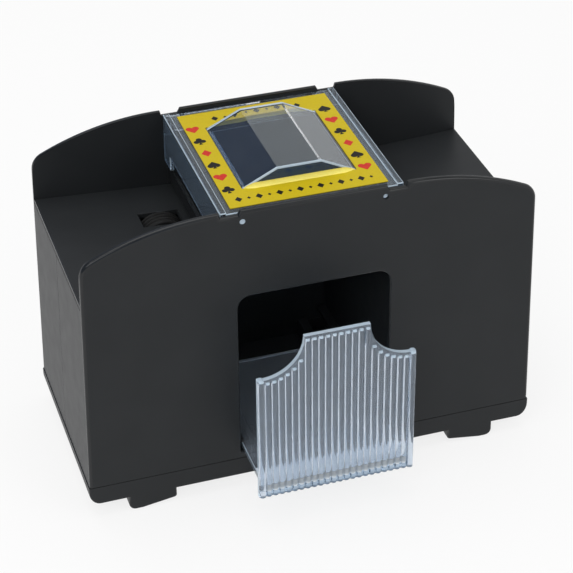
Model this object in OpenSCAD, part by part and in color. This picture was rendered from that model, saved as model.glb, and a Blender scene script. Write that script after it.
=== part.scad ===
// Automatic card shuffler: two hoppers feed cards into a chamber over a sliding tray.
// X runs along the body, Y towards the rear wall, Z up from the table.

/* [Body] */
// Length of the body at the seam above the base
body_len = 205; // [200:1:215]
// Length of the body at the shoulders of its walls
body_top_len = 199.4; // [197:0.2:203]
// Depth over the front and rear walls
body_depth = 95; // [94.5:0.5:100]
// Thickness of the shell walls
wall = 2.5; // [2.2:0.1:2.7]
// Height of the seam between the shells and the base
seam_z = 16.5; // [16:0.5:18]
// Height of the shoulders, where the end edges stop
shoulder_z = 128; // [126:1:130]
// Width of the parting line between the front and rear shells
parting_gap = 0.2; // [0.1:0.05:0.4]

/* [Wall tops] */
// Height of the bar in the middle of each wall
bar_z = 142.8; // [142.4:0.1:144]
// Length of that bar
bar_len = 63.5; // [62:0.5:66]
// Depth of the notches beside the bar
notch_drop = 2.2; // [1.5:0.1:3]
// Width of each notch
notch_w = 9.2; // [8:0.1:11]
// Run of the sloping ends of the bar and notches
notch_slope = 1.2; // [0.4:0.1:1.8]
// Height of the crest of each wing
wing_z = 142.7; // [142:0.1:144]
// Distance of the wing's crest from the middle
wing_x = 42.3; // [41:0.1:46]
// Radius of the wing's top edge
wing_r = 123.6; // [118:0.2:136]
// Radius of the shoulder corners
shoulder_r = 8; // [5:0.5:10]

/* [Window] */
// Width of the card window
window_w = 68; // [67.4:0.2:69.4]
// Height of the window's sill
window_sill_z = 19.3; // [18.6:0.1:20]
// Height of the window's head
window_head_z = 101; // [92:1:102]
// Radius of the window's upper corners
window_r = 6; // [3:0.5:10]

/* [Hoppers] */
// Height of the card deck at its outer end
deck_z = 109.3; // [108:0.1:110]
// Slope of the card deck, in degrees
deck_tilt = 3.4; // [2.8:0.1:3.8]
// Thickness of the card deck
deck_t = 2.2; // [1.8:0.1:2.4]
// Half the clear width of the card chamber
chamber_half = 36; // [35.5:0.1:36.5]
// Thickness of the chamber walls and gates
chamber_wall = 2; // [1.6:0.1:2.4]
// Height of the slot that a card leaves by
card_slot = 1.4; // [1:0.1:2]
// Height of the top of the gates
gate_top_z = 114.5; // [112:0.5:115]
// Gap at the front and rear ends of the decks
deck_gap = 0.3; // [0.2:0.05:0.5]

/* [Lid] */
// Length of the lid across the hoppers
lid_len = 79.9; // [79:0.1:81]
// Height of the lid's upper face
lid_z = 140.8; // [140.2:0.1:141.2]
// Thickness of the lid's sheet
lid_t = 1.8; // [1.4:0.1:2]
// Length of the dome at its foot
dome_len = 50; // [48:0.2:54]
// Length of the dome along its ridge
dome_ridge_len = 19.5; // [16:0.5:24]
// Depth of the dome
dome_depth = 54.5; // [50:0.5:60]
// Height of the dome above the lid
dome_h = 7.4; // [6:0.1:9]
// Height of the lower edge of the lid's side skirts
skirt_z = 124.5; // [122:0.5:127]
// Height of the foot of the lid's corner legs
leg_z = 118; // [117:0.1:120]
// Depth of each corner leg
leg_depth = 10; // [6:0.5:12]
// Radius of the lid's pins
lid_pin_r = 1.2; // [1:0.05:1.3]
// Distance of the lid's pins from the middle
lid_pin_x = 31.1; // [30.5:0.1:31.6]
// Height of the lid's pins
lid_pin_z = 137.7; // [137.2:0.1:138.2]
// Gap between the lid and the walls
lid_gap = 0.3; // [0.2:0.05:0.5]
// Thickness of the label on the lid
label_t = 0.25; // [0.2:0.05:0.4]
// Length of the label
label_len = 68.8; // [66:0.2:70]
// Depth of the label
label_depth = 82.2; // [78:0.2:86]

/* [Tray] */
// Width of the tray's front plate
tray_w = 70; // [69.4:0.2:72]
// Width of the tray's floor
tray_floor_w = 65.6; // [65:0.2:66.6]
// Length of the tray's floor behind the plate
tray_floor_len = 90; // [86:1:92]
// Thickness of the tray's front plate
tray_t = 2; // [1.6:0.1:2.2]
// Thickness of the tray's floor
tray_floor_t = 2.8; // [2.2:0.1:3.2]
// Height of the lower edge of the front plate
tray_low_z = 16.9; // [15:0.1:17.5]
// Height of the plate's sides
tray_side_z = 78.3; // [75:0.1:81]
// Height of the middle of the plate
tray_top_z = 96.5; // [93:0.5:99]
// Width of the plate's raised middle
tray_top_w = 28.8; // [26:0.2:32]
// Number of ribs on the plate
tray_ribs = 22; // [18:2:22]
// Distance from rib to rib
tray_rib_pitch = 2.92; // [2.8:0.02:2.94]
// Radius of each rib
tray_rib_r = 1.2; // [1:0.05:1.3]
// How far the tray stands out from closed
tray_out = 27; // [10:1:40]
// Width of the posts at the plate's sides
tray_post_w = 3; // [2.6:0.1:3.2]
// Running gap round the tray's floor
tray_gap = 0.3; // [0.2:0.05:0.4]

/* [Base] */
// Height of the feet
foot_h = 7; // [6:0.5:7.5]
// Length of each foot
foot_len = 21.6; // [19:0.2:25]
// Distance of each foot's middle from the end of the body
foot_inset = 27.8; // [24.5:0.1:31]
// Depth of each foot
foot_depth = 12; // [8:0.5:14]
// Radius of the feet's outer lower corners
foot_r = 3; // [1.5:0.5:4]
// How much higher the inner end of each foot is
foot_rake = 2.1; // [0:0.1:3]
// Reach of the base's lower end corners along the body
base_r = 5; // [3:0.5:6]
// Height of those corners
base_rise = 6.5; // [5:0.5:8]
// How far the base stands out past the end walls
base_proud = 0.4; // [0.2:0.1:0.8]
// Width of the seam line between base and shells
seam_gap = 0.25; // [0.15:0.05:0.4]

/* [Drive] */
// Distance of the rollers from the middle
roller_x = 50; // [49.8:0.1:52]
// Radius of the rollers over their tyres
roller_r = 11; // [10.5:0.1:11.2]
// How far the rollers stand out of the deck
roller_proud = 0.8; // [0.4:0.1:1.2]
// Width of each roller wheel
wheel_w = 9; // [7:0.5:12]
// Distance of the wheels from the middle of the shaft
wheel_y = 16; // [14:0.5:18]
// Thickness of the rubber tyres
tyre_t = 2; // [1.5:0.1:3]
// Radius of the roller shafts and gear axles
shaft_r = 1.5; // [1.4:0.05:1.6]
// Pitch diameter of a gear for each of its teeth
tooth_size = 0.8; // [0.79:0.01:0.8]
// Play cut from each tooth
gear_play = 0.2; // [0.16:0.02:0.26]
// Teeth on each roller's gear
roller_teeth = 16; // [15:1:16]
// Teeth on the compound gear's small wheel
small_teeth = 14; // [14:1:15]
// Teeth on the compound gear's large wheel
large_teeth = 40; // [38:1:40]
// Teeth on the motor pinion
pinion_teeth = 12; // [12:1:13]
// Direction from the roller to the compound gear, degrees below level
idler_angle = 50; // [49:1:52]
// Direction from the compound gear to the motor, degrees below level
motor_angle = 70; // [66:1:72]
// Running clearance round shafts and pins
run_gap = 0.06; // [0.03:0.01:0.08]
// Clearance of pressed and screwed pieces
press_gap = 0.02; // [0.02:0.01:0.04]

/* [Motors] */
// Radius of the motor can
motor_r = 10; // [9.5:0.1:10.5]
// Width over the can's flat sides
motor_flat_w = 15.2; // [14:0.1:16]
// Length of the motor can
motor_can_len = 20; // [18:0.5:21]
// Length of the motor's end cap
motor_cap_len = 4.6; // [4:0.1:5]
// Radius of the motor shaft
motor_shaft_r = 1; // [0.9:0.05:1.1]

/* [Battery boxes] */
// Diameter of a battery cell
cell_d = 26.2; // [25.6:0.1:26.2]
// Gap between the battery boxes and the end walls
bay_end_gap = 2.2; // [2.2:0.1:3]
// Space for a contact at each end of a cell
contact_space = 2.8; // [2.6:0.1:3.2]
// Thickness of the boxes' walls
bay_wall = 1.6; // [1.4:0.1:1.6]
// Thickness of the battery doors
door_t = 2; // [1.6:0.1:2.2]
// Clearance round the doors and cells
bay_gap = 0.3; // [0.2:0.05:0.4]

/* [Button] */
// Radius of the push button
button_r = 6; // [5:0.1:7]
// Height of the button's middle
button_z = 74; // [72:0.5:76]
// Distance of the button forward of the middle
button_y = 23; // [21:0.5:26]
// How far the button stands out
button_proud = 3; // [2.6:0.1:5]
// Travel of the button
button_travel = 2.5; // [1.5:0.1:2.6]
// Gap round the button in its hole
button_gap = 0.3; // [0.2:0.05:0.4]

/* [Hidden] */
$fn = 48;
LEFT = -1;
RIGHT = 1;
eps = 0.5;
charcoal = [0.20, 0.21, 0.22];
clear_plastic = [0.80, 0.86, 0.92, 0.4];
label_yellow = [0.83, 0.72, 0.16];
nylon_white = [0.90, 0.90, 0.86];
steel_grey = [0.66, 0.67, 0.69];
rubber_black = [0.11, 0.11, 0.12];

// Half length of the body at a height: the end walls lean in towards the shoulders.
lean = (body_len - body_top_len) / 2 / (shoulder_z - seam_z);
function half_at(z) = body_len / 2 - (z - seam_z) * lean;
inner_y = body_depth / 2 - wall;

// Upper and lower faces of the right deck at a distance from the middle.
deck_out_x = half_at(deck_z);
function deck_top(x) = deck_z - (deck_out_x - x) * tan(deck_tilt);
function deck_under(x) = deck_top(x) - deck_t;
chamber_out = chamber_half + chamber_wall;
lip_z = deck_top(chamber_out);
deck_half_y = inner_y - deck_gap;

// Base plate and battery boxes.
base_t = wall;
base_top = foot_h + base_t;
foot_x = body_len / 2 - foot_inset;
bay_chamber_gap = 1;
bay_x0 = chamber_out + bay_chamber_gap + bay_wall;
bay_x1 = body_len / 2 - wall - bay_end_gap - bay_wall;
cell_len = bay_x1 - bay_x0 - 2 * contact_space;
cell_pitch = cell_d + 2 * bay_gap;
bay_half_y = cell_pitch / 2 + cell_d / 2 + bay_gap;
cell_z = foot_h + door_t + bay_gap + cell_d / 2;
bay_roof_z = cell_z + cell_d / 2 + bay_gap;
chamber_sink = 3;
chamber_foot_z = seam_z - chamber_sink;

// Drive train of the right side, drawn as seen from the front.
roller_z = deck_top(roller_x) + roller_proud - roller_r;
idler_reach = tooth_size * (roller_teeth + small_teeth) / 2;
idler_x = roller_x + idler_reach * cos(idler_angle);
idler_z = roller_z - idler_reach * sin(idler_angle);
motor_reach = tooth_size * (large_teeth + pinion_teeth) / 2;
motor_x = idler_x + motor_reach * cos(motor_angle);
motor_z = idler_z - motor_reach * sin(motor_angle);
cheek_t = 2;
rear_cheek_y = 28;
cheek_back = rear_cheek_y + cheek_t;
front_cheek_y = -30;
cheek_x = motor_x + motor_r + 3;
cheek_foot_z = motor_z - motor_r - 2;
bush_r = shaft_r + 1.5;
bush_flange_r = bush_r + 1;
bush_flange_t = 1;
motor_boss_r = 3;
motor_boss_len = cheek_t - 0.4;
motor_screw_r = 0.8;
motor_screw_reach = 6;
gear_y0 = cheek_back + 2;
gear_w = 4.5;
wheel_gap_y = 0.6;
large_y0 = gear_y0 + gear_w + wheel_gap_y;
large_w = 3.4;
axle_y1 = large_y0 + large_w + 1.2;

// Screw wells along Y that join the two shells, and corner bosses for the base.
post_inset = 11.5;
post_x = body_len / 2 - post_inset;
post_zs = [56, 97];
post_r = 4;
well_r = 3.4;
well_y = 8;
screw_r = 1.5;
screw_head_r = 2.9;
screw_head_h = 2.2;
screw_grip = 12;
boss_inset = 8.5;
boss_x = body_len / 2 - boss_inset;
boss_wall_inset = 8;
boss_y = body_depth / 2 - boss_wall_inset;
boss_h = 14;
boss_r = 4;
base_screw_lift = 5;
base_screw_z = foot_h + base_screw_lift;

// Push button and its switch, in the front half of the right end wall.
button_wall_in = half_at(button_z) - wall;
button_flange_t = 1.2;
button_flange_r = button_r + 1.5;
button_back = button_wall_in - 0.5 - button_flange_t;
switch_face = button_back - button_travel - 0.5;
switch_len = 10;
switch_w = 13;
switch_h = 12;
stem_r = 1.5;
stem_in = 3;
stem_end = switch_face - stem_in;
pocket_t = 1.6;

// Tray heights and places.
tray_floor_z = window_sill_z + tray_gap;
tray_floor_top = tray_floor_z + tray_floor_t;
tray_back_y = -body_depth / 2 - tray_gap - tray_out;
tray_face_y = tray_back_y - tray_t;

// Points along an arc, from one angle to another.
function ray(a) = [cos(a), sin(a)];
function arc(c, r, a0, a1, n) = [for (i = [0:n]) c + r * ray(a0 + (a1 - a0) * i / n)];
function flip(points) = [for (i = [len(points) - 1:-1:0]) [-points[i][0], points[i][1]]];

// Draws an X-Z outline as a slab between two Y values.
module along_y(y0, y1) {
    translate([0, y1, 0])
        rotate([90, 0, 0])
            linear_extrude(y1 - y0)
                children();
}

module box(low, high) {
    translate(low)
        cube(high - low);
}

module rod_y(x, z, r, y0, y1) {
    translate([x, y1, z])
        rotate([90, 0, 0])
            cylinder(h = y1 - y0, r = r);
}

module rod_x(y, z, r, x0, x1) {
    translate([x0, y, z])
        rotate([0, 90, 0])
            cylinder(h = x1 - x0, r = r);
}

module tube_y(x, z, r, bore, y0, y1) {
    difference() {
        rod_y(x, z, r, y0, y1);
        rod_y(x, z, bore, y0 - eps, y1 + eps);
    }
}

// Left pieces are the right ones mirrored.
module on_side(side) {
    if (side == RIGHT)
        children();
    else
        mirror([1, 0, 0])
            children();
}

// Right half of the wall's edge, from the seam up to the middle bar.
lean_angle = atan(lean);
lean_normal = [cos(lean_angle), sin(lean_angle)];
lean_along = [-sin(lean_angle), cos(lean_angle)];
wing_c = [wing_x, wing_z - wing_r];
shoulder_off = lean_normal * ([body_len / 2, seam_z] - wing_c) - shoulder_r;
shoulder_c = wing_c + shoulder_off * lean_normal
    + sqrt(pow(wing_r - shoulder_r, 2) - pow(shoulder_off, 2)) * lean_along;
shoulder_turn = atan2(shoulder_c[1] - wing_c[1], shoulder_c[0] - wing_c[0]);
notch_x = bar_len / 2 + notch_w;
notch_z = bar_z - notch_drop;
wing_end = acos((notch_x - wing_x) / wing_r);
wall_edge = concat(
    [[body_len / 2, seam_z]],
    arc(shoulder_c, shoulder_r, lean_angle, shoulder_turn - 2, 8),
    arc(wing_c, wing_r, shoulder_turn, wing_end, 20),
    [[notch_x - notch_slope / 2, notch_z], [bar_len / 2 + notch_slope, notch_z], [bar_len / 2, bar_z]]
);

module wall_outline() {
    polygon(concat(wall_edge, flip(wall_edge)));
}

window_edge = concat(
    [[window_w / 2, window_sill_z]],
    arc([window_w / 2 - window_r, window_head_z - window_r], window_r, 0, 90, 8)
);

module window_outline() {
    polygon(concat(window_edge, flip(window_edge)));
}

// Right end wall, cut off under the deck that lies on it.
module end_wall_outline() {
    top_x = half_at(deck_z - deck_t);
    polygon([
        [body_len / 2, seam_z],
        [top_x, deck_under(top_x)],
        [top_x - wall, deck_under(top_x - wall)],
        [body_len / 2 - wall, seam_z]
    ]);
}

// Rib under the edge of the right deck.
ledge_t = 2;
ledge_w = 2;
module ledge_outline() {
    x0 = chamber_out + 2;
    x1 = half_at(deck_z) - wall;
    polygon([
        [x0, deck_under(x0)],
        [x0, deck_under(x0) - ledge_t],
        [x1, deck_under(x1) - ledge_t],
        [x1, deck_under(x1)]
    ]);
}

// Channel that holds one end of a gate: two ribs and a stop under it.
guide_w = 1;
guide_depth = 0.8;
gate_gap = 0.15;
gate_foot_z = lip_z + card_slot;
module gate_channel() {
    y0 = inner_y - guide_depth;
    y1 = inner_y + wall / 2;
    ribs = [chamber_half - gate_gap - guide_w, chamber_out + gate_gap];
    for (x = ribs)
        box([x, y0, lip_z + deck_gap + guide_w], [x + guide_w, y1, gate_top_z]);
    box([ribs[0], y0, lip_z + deck_gap], [ribs[1] + guide_w, y1, gate_foot_z]);
}

// Boss that a base screw runs into, with its web to the wall.
module base_boss() {
    box([boss_x - 1, boss_y, seam_z], [boss_x + 1, inner_y + wall / 2, seam_z + boss_h]);
    translate([boss_x, boss_y, seam_z])
        cylinder(h = boss_h, r = boss_r);
}

// Rear half of the housing without its screw wells; the front half is its mirror image.
module half_shell() {
    difference() {
        union() {
            along_y(inner_y, body_depth / 2)
                wall_outline();
            for (side = [LEFT, RIGHT])
                on_side(side) {
                    along_y(parting_gap / 2, body_depth / 2)
                        end_wall_outline();
                    along_y(inner_y - ledge_w, inner_y + wall / 2)
                        ledge_outline();
                    gate_channel();
                    base_boss();
                }
        }
        for (x = [-lid_pin_x, lid_pin_x])
            rod_y(x, lid_pin_z, lid_pin_r + run_gap, inner_y - eps, body_depth / 2 + eps);
        for (x = [-boss_x, boss_x])
            translate([x, boss_y, seam_z - eps])
                cylinder(h = boss_h - 1, r = screw_r + press_gap);
    }
}

module rear_shell() {
    color(charcoal)
        difference() {
            union() {
                half_shell();
                for (x = [-post_x, post_x], z = post_zs)
                    rod_y(x, z, well_r + wall / 2, parting_gap / 2, inner_y + wall / 2);
            }
            for (x = [-post_x, post_x], z = post_zs) {
                rod_y(x, z, well_r, well_y, body_depth / 2 + eps);
                rod_y(x, z, screw_r + press_gap, -eps, well_y + eps);
            }
        }
}

// Shelf and back stop that hold the switch behind the button.
module switch_pocket() {
    back = switch_face - switch_len;
    y0 = -button_y - switch_w / 2 - pocket_t;
    y1 = -button_y + switch_w / 2 + pocket_t;
    under = button_z - switch_h / 2;
    box([back - pocket_t, y0, under - pocket_t], [button_wall_in + wall / 2, y1, under]);
    box([back - pocket_t, y0, under - pocket_t], [back, y1, button_z + switch_h / 2]);
}

module front_shell() {
    color(charcoal)
        difference() {
            union() {
                mirror([0, 1, 0])
                    half_shell();
                for (x = [-post_x, post_x], z = post_zs)
                    rod_y(x, z, post_r, -inner_y - wall / 2, -parting_gap / 2);
                switch_pocket();
            }
            along_y(-body_depth / 2 - eps, -inner_y + eps)
                window_outline();
            for (x = [-post_x, post_x], z = post_zs)
                rod_y(x, z, screw_r + press_gap, -screw_grip - 1, eps);
            rod_x(-button_y, button_z, button_r + button_gap, button_wall_in - 2, body_len);
            rod_x(-button_y, button_z, button_flange_r + button_gap, switch_face, button_wall_in);
        }
}

// Base: skirt, plate, feet, tray rails and seats for the chamber walls.
base_high = seam_z - seam_gap;
base_half_len = body_len / 2 + base_proud;
function base_corner(inset) = [for (p = arc([0, 0], 1, -90, 0, 8))
    [base_half_len - base_r + (base_r - inset) * p[0], foot_h + base_rise + (base_rise - inset) * p[1]]];
skirt_edge = concat(base_corner(0), [[base_half_len, base_high]]);
hollow_edge = concat(base_corner(wall), [[base_half_len - wall, seam_z + eps]]);
toe_r = 1.4;
foot_flat = 3;
foot_edge = concat(
    arc([toe_r - foot_len / 2, foot_rake + toe_r], toe_r, -180, -90, 4),
    [[foot_len / 2 - foot_r - foot_flat, 0]],
    arc([foot_len / 2 - foot_r, foot_r], foot_r, -90, 0, 6),
    [[foot_len / 2, foot_h + base_t / 2], [-foot_len / 2, foot_h + base_t / 2]]
);

module foot() {
    along_y(body_depth / 2 - foot_depth, body_depth / 2)
        translate([foot_x, 0])
            polygon(foot_edge);
}

rail_x = 22;
cross_y = -30.5;
cross_gap = 2.2;
rail_w = 4;
duct_wall = 1.2;
duct_x = chamber_half - 0.5;
lip_t = 1.2;
lip_h = 3;
seat_w = 8;
seat_y = 33;
module base_half() {
    for (y = [-1, 1])
        at_end(y) {
            foot();
            translate([boss_x, boss_y, foot_h])
                cylinder(h = seam_z - foot_h, r = boss_r);
            box([chamber_half - 1, seat_y, foot_h], [chamber_out + 1, seat_y + seat_w, chamber_foot_z]);
        }
    difference() {
        union() {
            box([rail_x, -inner_y + 2, foot_h], [rail_x + rail_w, inner_y - 2, tray_floor_z - tray_gap]);
            box([-eps, cross_y - cross_gap - duct_wall, foot_h],
                [duct_x, cross_y + cross_gap + duct_wall, base_top + cross_gap + duct_wall]);
        }
        box([-wall, cross_y - cross_gap, base_top],
            [duct_x + eps, cross_y + cross_gap, base_top + cross_gap]);
    }
    box([body_len / 2 - wall - lip_t - seam_gap, -boss_y + boss_r, foot_h + base_rise],
        [body_len / 2 - wall - seam_gap, boss_y - boss_r, seam_z + lip_h]);
    box([body_len / 2 - wall - lip_t - seam_gap, -boss_y + boss_r, foot_h + base_rise],
        [body_len / 2 - wall / 2, boss_y - boss_r, base_high - lip_t]);
}

module at_end(side) {
    if (side > 0)
        children();
    else
        mirror([0, 1, 0])
            children();
}

module base_cover() {
    color(charcoal)
        difference() {
            union() {
                difference() {
                    along_y(-body_depth / 2, body_depth / 2)
                        polygon(concat(skirt_edge, flip(skirt_edge)));
                    along_y(-inner_y, inner_y)
                        polygon(concat(hollow_edge, flip(hollow_edge)));
                }
                for (side = [LEFT, RIGHT])
                    on_side(side)
                        base_half();
            }
            for (side = [LEFT, RIGHT])
                on_side(side) {
                    box([bay_x0, -bay_half_y, foot_h - eps], [bay_x1, bay_half_y, base_top + eps]);
                    for (y = [-boss_y, boss_y]) {
                        translate([boss_x, y, foot_h - eps])
                            cylinder(h = base_screw_z - foot_h + eps, r = well_r);
                        translate([boss_x, y, foot_h])
                            cylinder(h = seam_z, r = screw_r + press_gap);
                    }
                }
        }
}

// Battery box: an open box that stands on the base over the door's mouth.
module battery_box(side) {
    outer = [bay_x1 + bay_wall, bay_half_y + bay_wall];
    color(charcoal)
        on_side(side)
            difference() {
                box([bay_x0 - bay_wall, -outer[1], base_top], [outer[0], outer[1], bay_roof_z + bay_wall]);
                box([bay_x0, -bay_half_y, base_top - eps], [bay_x1, bay_half_y, bay_roof_z]);
                for (y = [-cell_pitch / 2, cell_pitch / 2])
                    box([bay_x1 - tab_slot, y - tab_w / 2 - bay_gap, bay_roof_z - eps],
                        [bay_x1, y + tab_w / 2 + bay_gap, bay_roof_z + bay_wall + eps]);
                for (y = [-hook_y, hook_y])
                    box([bay_x0 - bay_wall - eps, y - hook_w / 2 - bay_gap, base_top - eps],
                        [bay_x0 + eps, y + hook_w / 2 + bay_gap, base_top + hook_sweep]);
            }
}

// Battery door: a plate with a rounded inner end, and two hooks there that reach over the base.
hook_y = 24;
hook_w = 4.5;
hook_t = 1.3;
hook_reach = 3;
hook_lift = 0.15;
hook_sweep = hook_reach + hook_t + 1;
door_x0 = bay_x0 + bay_gap;
door_x1 = bay_x1 - bay_gap;
door_half_y = bay_half_y - bay_gap;
knuckle_r = door_t / 2;
grip_len = 14;
grip_w = 4;
grip_depth = 0.8;
grip_x = door_x1 - 3;
module battery_door(side) {
    hook_z = base_top + hook_lift;
    color(charcoal)
        on_side(side)
            difference() {
                union() {
                    rod_y(door_x0 + knuckle_r, foot_h + knuckle_r, knuckle_r, -door_half_y, door_half_y);
                    box([door_x0 + knuckle_r, -door_half_y, foot_h], [door_x1, door_half_y, foot_h + door_t]);
                    for (y = [-hook_y, hook_y]) {
                        box([door_x0, y - hook_w / 2, foot_h + door_t / 2],
                            [door_x0 + hook_t, y + hook_w / 2, hook_z + hook_t]);
                        box([bay_x0 - hook_reach, y - hook_w / 2, hook_z],
                            [door_x0 + hook_t, y + hook_w / 2, hook_z + hook_t]);
                    }
                }
                box([grip_x - grip_w, -grip_len / 2, foot_h - eps],
                    [grip_x, grip_len / 2, foot_h + grip_depth]);
            }
}

// Cells lie side by side, one turned round.
nub_r = 3.3;
nub_h = 1.5;
cell_x0 = bay_x0 + contact_space;
module battery_cells() {
    color("goldenrod")
        for (side = [LEFT, RIGHT], way = [-1, 1])
            on_side(side)
                translate([cell_x0 + cell_len / 2, way * cell_pitch / 2, cell_z])
                    rotate([0, way * 90, 0])
                        translate([0, 0, -cell_len / 2]) {
                            cylinder(h = cell_len - nub_h, r = cell_d / 2);
                            cylinder(h = cell_len, r = nub_r);
                        }
}

// Contacts: a plate on each end of a box with a dimple that bears on the cell.
leaf_t = 0.5;
leaf_w = 12;
leaf_half = 8;
dimple_r = 2.4;
tab_w = 4;
tab_slot = leaf_t + 0.4;
tab_h = 4;
module contact(x_wall, inward, cell_end, y, tab) {
    x0 = min(x_wall, x_wall + inward * leaf_t);
    box([x0, y - leaf_w / 2, cell_z - leaf_half], [x0 + leaf_t, y + leaf_w / 2, cell_z + leaf_half]);
    rod_x(y, cell_z, dimple_r, min(x0, cell_end), max(x0 + leaf_t, cell_end));
    if (tab)
        box([x0, y - tab_w / 2, cell_z], [x0 + leaf_t, y + tab_w / 2, bay_roof_z + bay_wall + tab_h]);
}

module battery_contacts() {
    color(steel_grey)
        for (side = [LEFT, RIGHT], way = [-1, 1])
            on_side(side) {
                contact(bay_x0, 1, cell_x0, way * cell_pitch / 2, false);
                contact(bay_x1, -1, cell_x0 + cell_len, way * cell_pitch / 2, true);
            }
}

// Deck: sloping hopper floor, chamber wall with tray runner, and the cheeks that carry the drive.
slot_half = sqrt(pow(roller_r, 2) - pow(roller_r - roller_proud - deck_t, 2)) + 1.2;
slot_side = 1;
runner_w = 4;
runner_h = 1.5;
module feed_deck(side) {
    color(charcoal)
        on_side(side)
            difference() {
                union() {
                    along_y(-deck_half_y, deck_half_y)
                        polygon([
                            [chamber_half, lip_z],
                            [chamber_out, lip_z],
                            [deck_out_x, deck_z],
                            [deck_out_x, deck_z - deck_t],
                            [chamber_out, deck_under(chamber_out)],
                            [chamber_out, chamber_foot_z],
                            [chamber_half, chamber_foot_z]
                        ]);
                    along_y(rear_cheek_y, cheek_back)
                        polygon([
                            [chamber_half + chamber_wall / 2, cheek_foot_z],
                            [cheek_x, cheek_foot_z],
                            [cheek_x, deck_under(cheek_x) + deck_t / 2],
                            [chamber_half + chamber_wall / 2, lip_z - deck_t / 2]
                        ]);
                    along_y(front_cheek_y - cheek_t, front_cheek_y)
                        polygon([
                            [chamber_half + chamber_wall / 2, roller_z - roller_r],
                            [roller_x + roller_r, roller_z - roller_r],
                            [roller_x + roller_r, deck_under(roller_x + roller_r) + deck_t / 2],
                            [chamber_half + chamber_wall / 2, lip_z - deck_t / 2]
                        ]);
                    box([chamber_half - runner_w, -deck_half_y, tray_floor_top + tray_gap],
                        [chamber_half + chamber_wall / 2, deck_half_y, tray_floor_top + tray_gap + runner_h]);
                }
                for (y = [-wheel_y, wheel_y])
                    box([roller_x - slot_half, y - wheel_w / 2 - slot_side, roller_z],
                        [roller_x + slot_half, y + wheel_w / 2 + slot_side, deck_z + eps]);
                rod_y(roller_x, roller_z, bush_r + press_gap,
                    front_cheek_y - cheek_t - eps, cheek_back + eps);
                rod_y(idler_x, idler_z, shaft_r + press_gap, rear_cheek_y - eps, cheek_back + eps);
                rod_y(motor_x, motor_z, motor_boss_r + press_gap,
                    rear_cheek_y - eps, cheek_back + eps);
                for (x = [-motor_screw_reach, motor_screw_reach])
                    rod_y(motor_x + x, motor_z, motor_screw_r + press_gap,
                        rear_cheek_y - eps, cheek_back + eps);
            }
}

module gate(side) {
    color(charcoal)
        on_side(side)
            box([chamber_half, -inner_y + gate_gap, gate_foot_z],
                [chamber_out, inner_y - gate_gap, gate_top_z]);
}

// Flanged bushes in the cheeks, flanges on the roller's side.
module bush(y0, y1, flange_y0) {
    difference() {
        union() {
            rod_y(roller_x, roller_z, bush_r, y0, y1);
            rod_y(roller_x, roller_z, bush_flange_r, flange_y0, flange_y0 + bush_flange_t);
        }
        rod_y(roller_x, roller_z, shaft_r + run_gap, y0 - bush_flange_t - eps, y1 + bush_flange_t + eps);
    }
}

module bushes(side) {
    color("darkkhaki")
        on_side(side) {
            bush(front_cheek_y - cheek_t, front_cheek_y, front_cheek_y);
            bush(rear_cheek_y, cheek_back, rear_cheek_y - bush_flange_t);
        }
}

module gear_axle(side) {
    color(steel_grey)
        on_side(side)
            rod_y(idler_x, idler_z, shaft_r, rear_cheek_y, axle_y1);
}

// Roller: shaft, moulded core with two wheels, rubber tyres and a gear behind the rear cheek.
core_r = bush_r + 0.5;
core_end = 0.4;
shaft_end = 2;
shaft_back = gear_y0 + gear_w + wheel_gap_y / 3;
module roller_shaft(side) {
    color(steel_grey)
        on_side(side)
            rod_y(roller_x, roller_z, shaft_r, front_cheek_y - cheek_t - shaft_end, shaft_back);
}

module roller_core(side) {
    rim_r = roller_r - tyre_t;
    color(nylon_white)
        on_side(side)
            difference() {
                union() {
                    rod_y(roller_x, roller_z, core_r, front_cheek_y + bush_flange_t + core_end,
                        rear_cheek_y - bush_flange_t - core_end);
                    for (y = [-wheel_y, wheel_y])
                        rod_y(roller_x, roller_z, rim_r, y - wheel_w / 2, y + wheel_w / 2);
                }
                rod_y(roller_x, roller_z, shaft_r + press_gap, front_cheek_y, rear_cheek_y);
            }
}

module roller_tyres(side) {
    color(rubber_black)
        on_side(side)
            for (y = [-wheel_y, wheel_y])
                tube_y(roller_x, roller_z, roller_r, roller_r - tyre_t + press_gap,
                    y - wheel_w / 2, y + wheel_w / 2);
}

// Involute tooth: its half angle at a radius, and the outline of one tooth from root to root.
press_angle = 20;
tip_height = 0.9;
root_depth = 1.25;
function involute(a) = tan(a) * 180 / PI - a;
function tooth_half(teeth, r) =
    let (pitch_r = tooth_size * teeth / 2, start_r = pitch_r * cos(press_angle))
    90 / teeth - gear_play / 2 / pitch_r * 180 / PI + involute(press_angle)
        - (r > start_r ? involute(acos(start_r / r)) : 0);
function tooth(teeth, turn) =
    let (pitch_r = tooth_size * teeth / 2,
        root = pitch_r - root_depth * tooth_size,
        tip = pitch_r + tip_height * tooth_size,
        start_r = max(root, pitch_r * cos(press_angle)),
        radii = [root, for (i = [0:3]) start_r + (tip - start_r) * i / 3])
    concat(
        [for (r = radii) r * ray(turn - tooth_half(teeth, r))],
        [for (i = [len(radii) - 1:-1:0]) radii[i] * ray(turn + tooth_half(teeth, radii[i]))]
    );

module gear_outline(teeth, turn) {
    polygon([for (i = [0:teeth - 1]) each tooth(teeth, turn + i * 360 / teeth)]);
}

module gear(x, z, teeth, turn, y0, y1) {
    along_y(y0, y1)
        translate([x, z])
            gear_outline(teeth, turn);
}

// Angle at which a gear's tooth fills the gap of the gear it meshes with.
function mesh_turn(teeth, mate_teeth, mate_turn, line) =
    line + 180 + 180 / teeth - (mate_turn - line) * mate_teeth / teeth;
roller_turn = -idler_angle;
small_turn = mesh_turn(small_teeth, roller_teeth, roller_turn, -idler_angle);
large_turn = -motor_angle;
pinion_turn = mesh_turn(pinion_teeth, large_teeth, large_turn, -motor_angle);

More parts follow.
